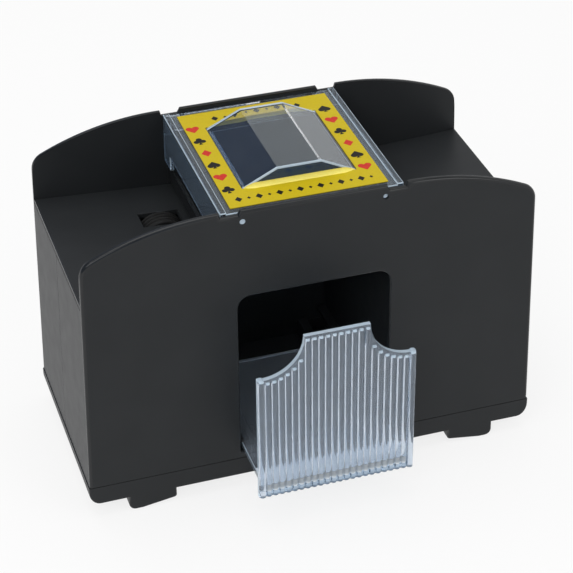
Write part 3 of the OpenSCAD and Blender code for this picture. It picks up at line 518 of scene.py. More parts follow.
def spun(profile: Iterable[Span], axis: Point, steps: int) -> BMesh:
    """Spin a profile into a turned shape round an axis through the origin.

    Args:
        profile: Points as distance along the axis and radius, in millimetres.
        axis: Direction of the axis, along X, Y or Z.
        steps: Number of steps round it.

    Returns:
        The turned mesh.
    """
    along = Vector(axis)
    out = Vector((along.y, along.z, along.x))
    bm = bmesh.new()
    verts = [bm.verts.new((along * a + out * r) * MM) for a, r in profile]
    edges = [bm.edges.new(pair) for pair in zip(verts, verts[1:])]
    bmesh.ops.spin(
        bm, geom=verts + edges, cent=(0, 0, 0), axis=along, angle=math.tau, steps=steps,
        use_merge=True)
    bmesh.ops.remove_doubles(bm, verts=bm.verts[:], dist=WELD)
    bmesh.ops.recalc_face_normals(bm, faces=bm.faces[:])
    return bm


def shift(bm: BMesh, place: Point) -> None:
    """Move a whole mesh by millimetres."""
    bmesh.ops.translate(bm, verts=bm.verts[:], vec=Vector(place) * MM)


def joined(parts: Iterable[BMesh]) -> BMesh:
    """Put several meshes into one.

    Args:
        parts: The meshes, which are used up.

    Returns:
        The whole.
    """
    whole = bmesh.new()
    for part in parts:
        mesh = bpy.data.meshes.new("part")
        part.to_mesh(mesh)
        part.free()
        whole.from_mesh(mesh)
        bpy.data.meshes.remove(mesh)
    return whole


@dataclass
class Housing:
    """Front and rear shells, base cover, decks, gates and battery doors."""

    face_y: float = 47.5
    inner_y: float = 45.0
    seam_z: float = 16.5
    parting_x: float = 98.0
    parting_y: float = 0.1
    hopper_z: float = 112.0
    window_x: float = 34.1
    window_z: Span = (17.5, 101.1)
    hole_r: float = 2.0
    well_r: float = 5.0
    skirt_x: float = 102.5
    skirt_z: float = 16.25
    foot_y: float = 35.5
    foot_z: float = 7.05
    deck_y: float = 44.9
    deck_z: float = 104.5
    door_z: float = 7.9
    outer_round: float = 1.3
    window_round: float = 0.8
    skirt_round: float = 0.7
    inner_round: float = 0.5
    foot_round: float = 0.5
    trim_round: float = 0.4
    door_round: float = 0.3
    fine_round: float = 0.25

    def in_window(self, p: Vector) -> bool:
        """Tell whether a point is on the window's outline."""
        return abs(p.x) < self.window_x and self.window_z[0] < p.z < self.window_z[1]

    def in_hole(self, p: Vector) -> bool:
        """Tell whether a point is on the rim of a pin hole."""
        return math.hypot(abs(p.x) - PIN_HOLE[0], p.z - PIN_HOLE[1]) < self.hole_r

    def in_well(self, p: Vector) -> bool:
        """Tell whether a point is on the rim of a screw well."""
        return any(math.hypot(p.x - x, p.z - z) < self.well_r for x, z in SHELL_WELLS)

    def on_parting(self, a: Vector, b: Vector) -> bool:
        """Pick the line down the ends where the shells meet."""
        end = min(abs(a.x), abs(b.x)) > self.parting_x
        return end and both(a, b, Y, -self.parting_y, self.parting_y)

    @staticmethod
    def mould(node: str, piece: str, body: str, *roundings: tuple[float, int, Pick]) -> None:
        """Make a charcoal piece from a node, with rounded edges in a darker, glossier finish; the
        darker colour is painted shade.

        Args:
            node: The node that the piece stands for.
            piece: Name of the piece.
            body: The body that carries it.
            roundings: Width, number of faces and edge test of each rounding.
        """
        bm = copy_of(node)
        for rounding in roundings:
            round_edges(bm, *rounding)
        # The roundings take the darker edge finish, which is painted shade.
        make_piece(piece, bm, [Finish.CHARCOAL, Finish.EDGE], body, Slot.CHARCOAL, [node])

    def shell(self, node: str, side: int) -> None:
        """Round the edges of one shell.

        Args:
            node: The shell's node.
            side: -1 for the front, 1 for the rear.
        """
        face, inner = side * self.face_y, side * self.inner_y

        def on_outline(a: Vector, b: Vector) -> bool:
            """Pick the outline of the outer face above the seam."""
            inside = self.in_window(a) or self.in_hole(a) or self.in_well(a)
            return both(a, b, Y, face) and not both(a, b, Z, self.seam_z) and not inside

        def on_window(a: Vector, b: Vector) -> bool:
            """Pick the window's outer edge."""
            return both(a, b, Y, face) and self.in_window(a) and self.in_window(b)

        def on_rim(a: Vector, b: Vector) -> bool:
            """Pick the top of the inner face."""
            high = min(a.z, b.z) > self.hopper_z
            return high and both(a, b, Y, inner) and not self.in_hole(a)

        def on_fine(a: Vector, b: Vector) -> bool:
            """Pick the seam, the rims of holes and the parting line."""
            fine = both(a, b, Z, self.seam_z) or self.in_hole(a) or self.in_well(a)
            return self.on_parting(a, b) or fine and both(a, b, Y, face)

        self.mould(
            node, f"{node}_moulding", "housing", (self.outer_round, 4, on_outline),
            (self.window_round, 3, on_window), (self.inner_round, 2, on_rim),
            (self.fine_round, 2, on_fine))

    def base(self) -> None:
        """Round the edges of the base cover and its feet."""
        def on_skirt(a: Vector, b: Vector) -> bool:
            """Pick the outline of the front and rear faces, but not its top."""
            flat = both(a, b, Y, -self.face_y, self.face_y)
            return flat and not both(a, b, Z, self.skirt_z)

        def on_foot(a: Vector, b: Vector) -> bool:
            """Pick the inner outline of the feet."""
            return max(a.z, b.z) < self.foot_z and both(a, b, Y, -self.foot_y, self.foot_y)

        def on_seam(a: Vector, b: Vector) -> bool:
            """Pick the top edge along the seam."""
            outer = near(abs(a.y), self.face_y) or abs(a.x) > self.skirt_x
            return outer and both(a, b, Z, self.skirt_z)

        self.mould("base_cover", "base_moulding", "housing", (self.skirt_round, 3, on_skirt),
                   (self.foot_round, 2, on_foot), (self.fine_round, 2, on_seam))

    def small(self) -> None:
        """Round the edges of the decks, gates and battery doors."""
        def on_deck(a: Vector, b: Vector) -> bool:
            """Pick the upper edges of a deck that lie clear of the walls."""
            return min(a.z, b.z) > self.deck_z and max(abs(a.y), abs(b.y)) < self.deck_y

        for side in SIDES:
            for node, piece, body, radius, pick in (
                    ("feed_deck", "deck", "housing", self.trim_round, on_deck),
                    ("gate", "gate", "housing", self.trim_round, lambda a, b: True),
                    ("battery_door", "door", f"{side}_door", self.door_round,
                     lambda a, b: max(a.z, b.z) < self.door_z)):
                self.mould(f"{side}_{node}", f"{side}_{piece}_moulding", body, (radius, 2, pick))

    def build(self) -> None:
        """Build every piece of the housing."""
        self.shell("front_shell", -1)
        self.shell("rear_shell", 1)
        self.base()
        self.small()
        dress(Finish.CHARCOAL, "left_battery_box", "right_battery_box")


class Suit(Enum):
    """Suits of a pack of cards, in the order that the sheet has them."""

    HEART = "heart"
    CLUB = "club"
    DIAMOND = "diamond"
    SPADE = "spade"

    @property
    def is_red(self) -> bool:
        """Tell whether the suit is printed in red."""
        return self in (Suit.HEART, Suit.DIAMOND)


@dataclass(frozen=True)
class Turn:
    """An arc of a pip's outline."""

    centre: Span
    degrees: float


LOBE = (0.25, 0.18)
SPADE_LOBE = (0.24, -0.09)
CLUB_TOP = (0.0, 0.27)
CLUB_SIDE = (0.25, -0.05)
HALF_OUTLINES: dict[Suit, list[Span | Turn]] = {
    Suit.DIAMOND: [(0.0, -0.5), (0.4, 0.0), (0.0, 0.5)],
    Suit.HEART: [(0.0, -0.5), (0.4507, -0.0012), Turn(LOBE, 199.9)],
    Suit.SPADE: [(0.0, 0.52), (0.43, 0.076), Turn(SPADE_LOBE, -188.0), (0.04, -0.25),
                 (0.17, -0.5), (0.0, -0.5)],
    Suit.CLUB: [(0.0, 0.5), Turn(CLUB_TOP, -113.9), Turn(CLUB_SIDE, -252.0), (0.05, -0.2),
                (0.16, -0.5), (0.0, -0.5)],
}
TURN_STEPS = 14
MIDDLE_SLACK = 0.01
PIP_WELD = 1e-4


@dataclass
class Label:
    """Suit pips and rows of lozenges printed on the lid's sheet."""

    top_z: float = 141.05
    ink_mm: float = 0.03
    pip_mm: float = 5.7
    columns_x: Span = (-30.9, 29.5)
    first_suits: tuple[int, int] = (0, 3)
    rows: int = 6
    first_y: float = 27.2
    pitch: float = 10.74
    bands_y: Span = (34.2, -35.2)
    bands_half: Span = (19.0, 29.0)
    lozenge_pitch: float = 4.6
    lozenges_mm: Span = (4.0, 2.0)

    def pip(self, suit: Suit, size_mm: float, x: float, y: float) -> BMesh:
        """Draw one pip as a thin plate of ink.

        Args:
            suit: The suit.
            size_mm: Its height.
            x: Its place along the lid.
            y: Its place across the lid.

        Returns:
            The plate.
        """
        bm = bmesh.new()
        last: BMVert | None = None
        for step in HALF_OUTLINES[suit]:
            if isinstance(step, Turn):
                made = bmesh.ops.spin(bm, geom=[last], cent=(*step.centre, 0), axis=(0, 0, 1),
                                      angle=math.radians(step.degrees), steps=TURN_STEPS)
                last = only(made["geom_last"], BMVert)[0]
            else:
                vert = bm.verts.new((*step, 0))
                if last:
                    bm.edges.new((last, vert))
                last = vert
        for vert in bm.verts:
            if abs(vert.co.x) < MIDDLE_SLACK:
                vert.co.x = 0
        bmesh.ops.mirror(bm, geom=bm.verts[:] + bm.edges[:], matrix=Matrix.Identity(4),
                         merge_dist=PIP_WELD, axis="X")
        bmesh.ops.remove_doubles(bm, verts=bm.verts[:], dist=PIP_WELD)
        face = bmesh.ops.contextual_create(bm, geom=bm.edges[:])["faces"][0]
        face.normal_update()
        if face.normal.z < 0:
            face.normal_flip()
        bmesh.ops.scale(bm, verts=bm.verts[:], vec=(size_mm * MM, size_mm * MM, 1))
        raised = bmesh.ops.extrude_face_region(bm, geom=[face], use_keep_orig=True)["geom"]
        bmesh.ops.translate(bm, verts=only(raised, BMVert), vec=(0, 0, self.ink_mm * MM))
        bmesh.ops.recalc_face_normals(bm, faces=bm.faces[:])
        shift(bm, (x, y, self.top_z))
        return bm

    def build(self) -> None:
        """Print both columns of pips and both bands."""
        order = list(Suit)
        red: list[BMesh] = []
        black: list[BMesh] = []
        for start, x in zip(self.first_suits, self.columns_x):
            for row in range(self.rows):
                suit = order[(start + row) % len(order)]
                bm = self.pip(suit, self.pip_mm, x, self.first_y - row * self.pitch)
                (red if suit.is_red else black).append(bm)
        for y, half in zip(self.bands_y, self.bands_half):
            count = round(2 * half / self.lozenge_pitch)
            for i in range(count + 1):
                x = -half + i * 2 * half / count
                black.append(self.pip(Suit.DIAMOND, self.lozenges_mm[i % 2], x, y))
        make_piece("label_red_print", joined(red), [Finish.RED_INK], "lid", Slot.LABEL)
        make_piece("label_black_print", joined(black), [Finish.BLACK_INK], "lid", Slot.LABEL)
        dress(Finish.SHEET, "lid_label")


@dataclass
class Lid:
    """The clear lid with its raised dome, skirts and pins."""

    plate_z: float = 140.8
    step_z: float = 141.5
    gable_z: float = 141.8
    ridge_round: float = 0.3
    gable_round: float = 0.75
    edge_round: float = 0.4
    dome_half_x: float = 25.0
    dome_half_y: float = 27.25
    foot_reach: float = 0.5
    foot_weld: float = 0.05
    skirt_x: float = 37.5
    pin_y: float = 44.75
    rear_band: float = 2.0
    roof_slope: float = 0.5
    upright: float = 0.9
    lip_r: float = 1.9
    lip_z: float = 141.0
    lip_gap: float = 0.02
    lip_steps: int = 8
    lip_ends: tuple[Span, ...] = (
        (-24.4, 0.1), (-22.8, 0.55), (-20.0, 1.0), (20.0, 1.0), (22.8, 0.55), (24.4, 0.1))
    stud_profile: tuple[Span, ...] = (
        (45.05, 0), (45.05, 1.1), (45.2, 1.22), (46.4, 1.22), (46.68, 0.95), (46.76, 0.5),
        (46.78, 0))
    stud_steps: int = 32
    least: float = math.radians(14)

    def in_foot(self, p: Vector) -> bool:
        """Tell whether a point is on the dome's foot."""
        inside = abs(p.x) - self.dome_half_x < self.foot_reach
        return inside and abs(p.y) - self.dome_half_y < self.foot_reach and near(p.z, self.plate_z)

    def on_ridge(self, a: Vector, b: Vector) -> bool:
        """Pick the dome's ridges."""
        return min(a.z, b.z) > self.step_z and not self.on_gable(a, b)

    def on_rest(self, a: Vector, b: Vector) -> bool:
        """Pick the plate's, rims' and skirts' edges, but not the pins'."""
        low = max(a.z, b.z) < self.step_z and not self.in_foot(a)
        return low and max(abs(a.y), abs(b.y)) < self.pin_y

    def on_gable(self, a: Vector, b: Vector) -> bool:
        """Pick the outlines of the dome's front and rear ends."""
        flat = near(abs(a.y), self.dome_half_y) and near(a.y, b.y)
        return flat and max(a.z, b.z) > self.gable_z

    def on_roof(self, face: BMFace) -> bool:
        """Tell whether a face is on top of the dome."""
        high = face.calc_center_median().z / MM > self.step_z
        return high and face.normal.z > self.roof_slope

    def paint(self, bm: BMesh) -> None:
        """Part the roof's rear band off, and give each face its finish: painted highlight on the
        rear band and the pin ends, painted shade on the front gable and painted light on the side
        skirts.

        Args:
            bm: The lid's mesh.
        """
        # Places of the front gable's painted shade and the side skirts' painted light.
        shade, skirt = 2, 3
        band_y = self.dome_half_y - self.rear_band
        roof = [f for f in bm.faces if self.on_roof(f)]
        edges = dict.fromkeys(e for f in roof for e in f.edges)
        verts = dict.fromkeys(v for e in edges for v in e.verts)
        bmesh.ops.bisect_plane(
            bm, geom=[*roof, *edges, *verts], dist=WELD, plane_co=(0, band_y * MM, 0),
            plane_no=(0, 1, 0))
        for face in bm.faces:
            centre = face.calc_center_median() / MM
            plain = face.material_index == PLAIN
            if centre.y > band_y and self.on_roof(face):
                face.material_index = EDGED
            elif plain and centre.z > self.plate_z and near(centre.y, -self.dome_half_y):
                face.material_index = shade
            elif plain and centre.z < self.plate_z and abs(centre.x) > self.skirt_x:
                face.material_index = skirt if abs(face.normal.x) > self.upright else PLAIN
            elif abs(centre.y) > self.pin_y:
                face.material_index = EDGED

    def build(self) -> None:
        """Round and dress the lid, and add the sheet's lips and the studs."""
        bm = copy_of("clear_lid")
        round_edges(bm, self.ridge_round, 3, self.on_ridge, PLAIN, self.least)
        # The gable's roundings, and the plate's, rims' and skirts' roundings below, take the paler
        # edge finish: painted highlight.
        round_edges(bm, self.gable_round, 3, self.on_gable, EDGED, self.least)
        foot = [v for v in bm.verts if self.in_foot(v.co / MM)]
        half = self.dome_half_x * MM
        for vert in foot:
            vert.co.x = max(-half, min(half, vert.co.x))
        bmesh.ops.remove_doubles(bm, verts=foot, dist=self.foot_weld * MM)
        round_edges(bm, self.edge_round, 2, self.on_rest)
        self.paint(bm)
        finishes = [Finish.CLEAR, Finish.CLEAR_EDGE, Finish.SMOKY, Finish.SKIRT]
        make_piece("clear_lid_moulding", bm, finishes, "lid", Slot.CLEAR, ["clear_lid"], self.least)
        self.lips()
        self.studs()

    def lips(self) -> None:
        """Turn the sheet up in a small cove along the front and rear feet of the dome, in the paler
        yellow of a painted highlight.
        """
        made = []
        for side in (-1, 1):
            bm = bmesh.new()
            reach = side * self.lip_r * MM
            corner = bm.verts.new((0, 0, 0))
            start = bm.verts.new((0, reach, 0))
            arc = bmesh.ops.spin(bm, geom=[start], cent=(0, reach, abs(reach)), axis=(-side, 0, 0),
                                 angle=math.pi / 2, steps=self.lip_steps)
            bm.edges.new((corner, start))
            bm.edges.new((corner, only(arc["geom_last"], BMVert)[0]))
            section = bmesh.ops.contextual_create(bm, geom=bm.edges[:])["faces"]
            rings = [bm.verts[:]]
            for _ in self.lip_ends[1:]:
                run = bmesh.ops.extrude_face_region(bm, geom=section, use_keep_orig=True)["geom"]
                if len(rings) > 1:
                    bmesh.ops.delete(bm, geom=section, context="FACES_ONLY")
                section = only(run, BMFace)
                rings.append(only(run, BMVert))
            for ring, (x, share) in zip(rings, self.lip_ends):
                bmesh.ops.scale(bm, verts=ring, vec=(1, share, share))
                bmesh.ops.translate(bm, verts=ring, vec=(x * MM, 0, 0))
            bmesh.ops.recalc_face_normals(bm, faces=bm.faces[:])
            shift(bm, (0, side * (self.dome_half_y + self.lip_gap), self.lip_z))
            made.append(bm)
        make_piece("sheet_lips", joined(made), [Finish.LIP], "lid", Slot.LABEL)

    def studs(self) -> None:
        """Set a crowned stud in each wall's right-hand hole, for the lid to snap over."""
        made = []
        for side in (-1, 1):
            bm = spun([(side * y, r) for y, r in self.stud_profile], (0, 1, 0), self.stud_steps)
            shift(bm, (PIN_HOLE[0], 0, PIN_HOLE[1]))
            made.append(bm)
        # The studs take the paler edge finish: painted highlight.
        make_piece("lid_catch_studs", joined(made), [Finish.CLEAR_EDGE], "housing", Slot.CLEAR)


@dataclass
class Tray:
    """The clear card tray: a ribbed, scalloped plate on a floor."""

    half_w: float = 35.0
    face_y: float = -76.8
    back_y: float = -74.8
    low_z: float = 16.9
    side_z: float = 78.3
    top_z: float = 96.5
    top_half: float = 14.4
    floor_half: float = 32.8
    floor_z: Span = (19.6, 22.4)
    floor_end: float = 15.2
    floor_round: float = 0.3
    floor_slack: Span = (-0.09, 0.01)
    ribs: int = 22
    pitch: float = 2.92
    rib_r: float = 1.2
    rib_drop: float = 1.2
    rib_foot: float = 0.4
    rib_step: float = 0.03
    rib_caps: tuple[float, ...] = (0, 22, 42, 60, 76, 90)
    rib_sides: int = 8
    row_gap: float = 0.01
    post_r: float = 1.5
    post_rise: float = 0.5
    post_drop: float = 0.05
    scallop_starts: tuple[float, ...] = (0.0, 0.03, 0.1, 0.22, 0.35)
    tip_slope: float = 0.5
    foot_bands: Span = (20.2, 23.7)

    def edge_z(self, x: float) -> float:
        """Find the height of the plate's upper edge.

        Args:
            x: Place along the plate.

        Returns:
            The height there.
        """
        radius = self.top_z - self.side_z
        out = abs(x) - self.top_half
        if out <= 0:
            return self.top_z
        if out < radius:
            return self.top_z - math.sqrt(radius**2 - (radius - out) ** 2)
        across = (abs(x) - self.half_w + self.post_r) / self.post_r
        return self.side_z + self.post_rise * math.sqrt(max(0.0, 1 - across**2))

    def columns(self) -> list[tuple[float, float, float, float]]:
        """Lay out the plate's columns.

        Returns:
            Each column's place, its distance from its bar's middle, and the bar's radius and top.
        """
        bars = []
        for i in range(self.ribs):
            middle = (i - (self.ribs - 1) / 2) * self.pitch
            bars.append((middle, self.rib_r, self.edge_z(abs(middle) + self.rib_r) - self.rib_drop))
        post_x, post_top = self.half_w - self.post_r, self.side_z + self.post_rise - self.post_drop
        bars += [(-post_x, self.post_r, post_top), (post_x, self.post_r, post_top)]
        turns = [math.radians(180 * i / self.rib_sides - 90) for i in range(self.rib_sides + 1)]
        shares = [math.sin(turn) for turn in turns]
        found = [(middle + r * s, r * s, r, top) for middle, r, top in bars for s in shares]
        for out in self.scallop_starts:
            x = self.top_half + out
            top = self.edge_z(x) - self.rib_drop
            found += [(-x, self.rib_r, self.rib_r, top), (x, self.rib_r, self.rib_r, top)]
        return sorted(found)

    def plate(self) -> BMesh:
        """Shape the plate's ribbed face from a grid, and give it a flat back and the floor.

        Returns:
            The tray's mesh.
        """
        columns = self.columns()
        caps = [math.radians(turn) for turn in self.rib_caps]
        foot = self.low_z + self.rib_foot
        levels = (self.low_z, foot, foot + self.rib_step, *self.foot_bands)
        across, up = len(columns) - 1, len(levels) + len(caps)
        bm = bmesh.new()
        bmesh.ops.create_grid(bm, x_segments=across, y_segments=up, size=0.5)
        for vert in bm.verts:
            x, off, radius, top = columns[round((vert.co.x + 0.5) * across)]
            row = round((vert.co.y + 0.5) * up)
            z, depth = self.edge_z(x), 0.0
            if row < len(levels):
                z = levels[row]
                if row > 1:
                    depth = math.sqrt(max(0.0, radius**2 - off**2))
            elif row < up:
                cap = caps[row - len(levels)]
                z = min(top - radius + radius * math.sin(cap), z - self.row_gap * (up - row))
                depth = math.sqrt(max(0.0, (radius * math.cos(cap)) ** 2 - off**2))
            vert.co = Vector((x, self.face_y - depth, z)) * MM
        self.paint(bm)
        made = bmesh.ops.extrude_edge_only(bm, edges=[e for e in bm.edges if e.is_boundary])["geom"]
        for vert in only(made, BMVert):
            vert.co.y = self.back_y * MM
        # The plate's back and sides take the paler edge finish: painted highlight.
        for face in only(made, BMFace):
            face.material_index = EDGED
        self.floor(bm, [e for e in only(made, BMEdge) if e.is_boundary])
        bmesh.ops.recalc_face_normals(bm, faces=bm.faces[:])
        return bm

    def paint(self, bm: BMesh) -> None:
        """Give the face's rib tips a painted highlight, the band at its foot level with the floor's
        edge a paler painted light, and the band below it a bluish painted shade.

        Args:
            bm: The plate's face.
        """
        painted_shade_band, painted_light_band = 2, 3
        low, high = self.foot_bands
        inner = self.half_w - 2 * self.post_r
        bm.normal_update()
        for face in bm.faces:
            centre = face.calc_center_median() / MM
            if abs(face.normal.z) > self.tip_slope:
                face.material_index = EDGED
            elif abs(centre.x) < inner and centre.z < high:
                face.material_index = painted_shade_band if centre.z < low else painted_light_band

    def floor(self, bm: BMesh, rim: list[BMEdge]) -> None:
        """Close the plate's back round the floor, and draw the floor out of it.

        Args:
            bm: The tray's mesh.
            rim: The open edge of the plate's back.
        """
        (low, high), half = self.floor_z, self.floor_half
        corners = [(-half, low), (half, low), (half, high), (-half, high)]
        verts = [bm.verts.new((x * MM, self.back_y * MM, z * MM)) for x, z in corners]
        mouth = [bm.edges.new((verts[i - 1], vert)) for i, vert in enumerate(verts)]
        bmesh.ops.triangle_fill(bm, use_beauty=True, use_dissolve=False, edges=rim + mouth)
        far = only(bmesh.ops.extrude_edge_only(bm, edges=mouth)["geom"], BMVert)
        bmesh.ops.translate(bm, verts=far, vec=(0, (self.floor_end - self.back_y) * MM, 0))
        bmesh.ops.contextual_create(bm, geom=far)

    def build(self) -> None:
        """Build the tray and dress its edges."""
        bm = self.plate()
        start, clear = (self.back_y + slack for slack in self.floor_slack)
        # The floor's roundings take the paler edge finish: painted highlight.
        round_edges(
            bm, self.floor_round, 2, lambda a, b: min(a.y, b.y) > start and max(a.y, b.y) > clear)
        finishes = [Finish.CLOUDY, Finish.CLEAR_EDGE, Finish.SKIRT, Finish.MILKY]
        make_piece("card_tray_moulding", bm, finishes, "tray", Slot.CLEAR, ["card_tray"])


@dataclass
class Drive:
    """Rollers, gears and motors."""

    roller_x: float = 50.0
    roller_z: float = 96.119
    tyre_r: float = 11.0
    tyre_in: float = 9.0
    tyre_steps: int = 72
    chamfer: float = 0.5
    wheel_y: float = 16.0
    wheel_w: float = 9.0
    grooves: int = 3
    groove_mm: float = 0.5

    def tyre(self, y: float) -> BMesh:
        """Turn one grooved tyre about the roller's axis.

        Args:
            y: Its place along the axis.

        Returns:
            The tyre.
        """
        low, high = y - self.wheel_w / 2, y + self.wheel_w / 2
        r, cut, gap = self.tyre_r, self.chamfer, self.groove_mm
        profile = [(low, self.tyre_in), (low, r - cut), (low + cut, r)]
        for i in range(self.grooves):
            at = y + (i - (self.grooves - 1) / 2) * self.wheel_w / (self.grooves + 1)
            profile += [
                (at - gap, r), (at - gap / 2, r - gap), (at + gap / 2, r - gap), (at + gap, r)]
        profile += [(high - cut, r), (high, r - cut), (high, self.tyre_in), (low, self.tyre_in)]
        return spun(profile, (0, 1, 0), self.tyre_steps)

    def build(self) -> None:
        """Build the tyres and dress the rest of the drive."""
        for side, sign in SIDES.items():
            bm = joined(self.tyre(y) for y in (-self.wheel_y, self.wheel_y))
            shift(bm, (sign * self.roller_x, 0, self.roller_z))
            make_piece(f"{side}_grooved_tyres", bm, [Finish.RUBBER], f"{side}_roller",
                       Slot.RUBBER, [f"{side}_roller_tyres"])
            for finish, nodes in (
                    (Finish.NYLON, ("roller_core", "roller_gear", "compound_gear", "motor_cap")),
                    (Finish.STEEL, ("roller_shaft", "gear_axle", "motor_can", "motor_shaft",
                                    "motor_screws")),
                    (Finish.BRASS, ("bushes", "pinion"))):
                dress(finish, *(f"{side}_{node}" for node in nodes))


@dataclass
class Power:
    """Cells, contacts, switch and push button."""

    cell_place: Point = (68.4, 13.4, 22.4)
    cell_profile: tuple[Span, ...] = (
        (25.0, 0), (25.0, 2.9), (24.7, 3.3), (23.5, 3.3), (23.5, 9.6), (22.9, 10.0), (22.9, 11.6),
        (23.3, 12.2), (23.1, 12.9), (22.6, 13.1), (7.5, 13.1), (7.45, 13.1), (-24.2, 13.1),
        (-24.9, 12.6), (-25.0, 12.0), (-24.6, 11.4), (-24.6, 0))
    band_x: float = 7.5
    sleeve_r: float = 11.5
    button_place: Point = (0, -23.0, 74.0)
    button_profile: tuple[Span, ...] = (
        (90.856, 0), (90.856, 1.5), (96.856, 1.5), (96.856, 7.5), (98.056, 7.5), (98.056, 6.0),
        (103.2, 6.0), (103.75, 5.82), (104.0, 5.4), (104.05, 4.9), (103.85, 3.2), (103.7, 0))
    steps: int = 64

    def sleeved(self, way: int) -> BMesh:
        """Turn one cell.

        Args:
            way: Which way along X its nub points.

        Returns:
            The cell.
        """
        sleeve, metal, band = range(3)
        bm = spun([(way * x, r) for x, r in self.cell_profile], (1, 0, 0), self.steps)
        for face in bm.faces:
            x, y, z = face.calc_center_median() / MM
            wrap = band if way * x > self.band_x else sleeve
            face.material_index = wrap if math.hypot(y, z) > self.sleeve_r else metal
        return bm

    def build(self) -> None:
        """Build the cells and the dished button, and dress the rest."""
        cells = []
        for sign, way in product(SIDES.values(), (-1, 1)):
            bm = self.sleeved(way * sign)
            x, y, z = self.cell_place
            shift(bm, (sign * x, way * y, z))
            cells.append(bm)
        make_piece(
            "sleeved_cells", joined(cells), [Finish.SLEEVE, Finish.STEEL, Finish.SLEEVE_BAND],
            "housing", Slot.SLEEVE, ["battery_cells"])
        bm = spun(self.button_profile, (1, 0, 0), self.steps)
        shift(bm, self.button_place)
        make_piece("dished_push_button", bm, [Finish.RED], "button", Slot.RED, ["push_button"])
        dress(Finish.STEEL, "battery_contacts")
        dress(Finish.BRASS, "solder_tabs")
        dress(Finish.BLACK, "power_switch")


@dataclass
class Leads:
    """Insulated leads between the battery boxes, switch and motors."""

    radius: float = 0.7
    round_steps: int = 4
    bend_steps: int = 10
    order: int = 3
    red: tuple[tuple[Point, ...], ...] = (
        ((95.95, -13.4, 41.6), (95.95, -13.4, 47.6), (79, -23, 47.6), (79, -23, 80),
         (86.36, -22.1, 90.2), (86.36, -22.1, 84.2)),
        ((90.86, -22.1, 84.2), (90.86, -22.1, 90.2), (79, -13.4, 80), (70.33, -6.8, 67.38),
         (70.33, -0.8, 67.38)),
        ((86.36, -23.9, 84.2), (86.36, -23.9, 90.2), (79, -32.5, 80), (79, -32.5, 58),
         (79, -31.4, 16.4), (73, -31.4, 10.4), (-73, -31.4, 10.4), (-79, -31.4, 16.4),
         (-79, -32.5, 41.6), (-95.95, -13.4, 47.6), (-95.95, -13.4, 41.6)),
        ((90.86, -23.9, 84.2), (90.86, -23.9, 90.2), (77.2, -32.5, 86), (77.2, -32.5, 58),
         (77.2, -29.6, 16.4), (71.2, -29.6, 10.4), (-71.2, -29.6, 10.4), (-77.2, -29.6, 16.4),
         (-77.2, -32.5, 58), (-70.33, -6.8, 67.38), (-70.33, -0.8, 67.38)),
    )
    black: tuple[Point, ...] = (
        (95.95, 13.4, 41.6), (95.95, 13.4, 47.6), (79, 0, 47.6), (59.33, -6.8, 61.38),
        (59.33, -6.8, 67.38), (59.33, -0.8, 67.38))

    def wire(self, colour: str, routes: Iterable[Sequence[Point]], finish: Finish,
             slot: Slot) -> None:
        """Lay smooth round leads along their routes.

        Args:
            colour: The leads' colour, as it stands in their names.
            routes: Points of each lead in millimetres.
            finish: Finish of the insulation.
            slot: The record's material slot.
        """
        name = f"{colour}_insulated_leads"
        curve = bpy.data.curves.new(name, "CURVE")
        curve.dimensions = "3D"
        curve.bevel_depth = self.radius * MM
        curve.bevel_resolution = self.round_steps
        curve.resolution_u = self.bend_steps
        curve.use_fill_caps = True
        for route in routes:
            spline = curve.splines.new("NURBS")
            spline.points.add(len(route) - 1)
            for point, place in zip(spline.points, route):
                point.co = (*(Vector(place) * MM), 1)
            spline.order_u = self.order
            spline.use_endpoint_u = True
        curve.materials.append(finish.material())
        seat(bpy.data.objects.new(name, curve), "housing", slot, [f"{colour}_leads"])
        LOG.info("%s: %d leads", name, len(curve.splines))

    def build(self) -> None:
        """Lay the red and the black leads."""
        self.wire("red", self.red, Finish.RED, Slot.RED)
        mirrored = tuple((-x, y, z) for x, y, z in self.black)
        self.wire("black", (mirrored, self.black), Finish.BLACK, Slot.BLACK)


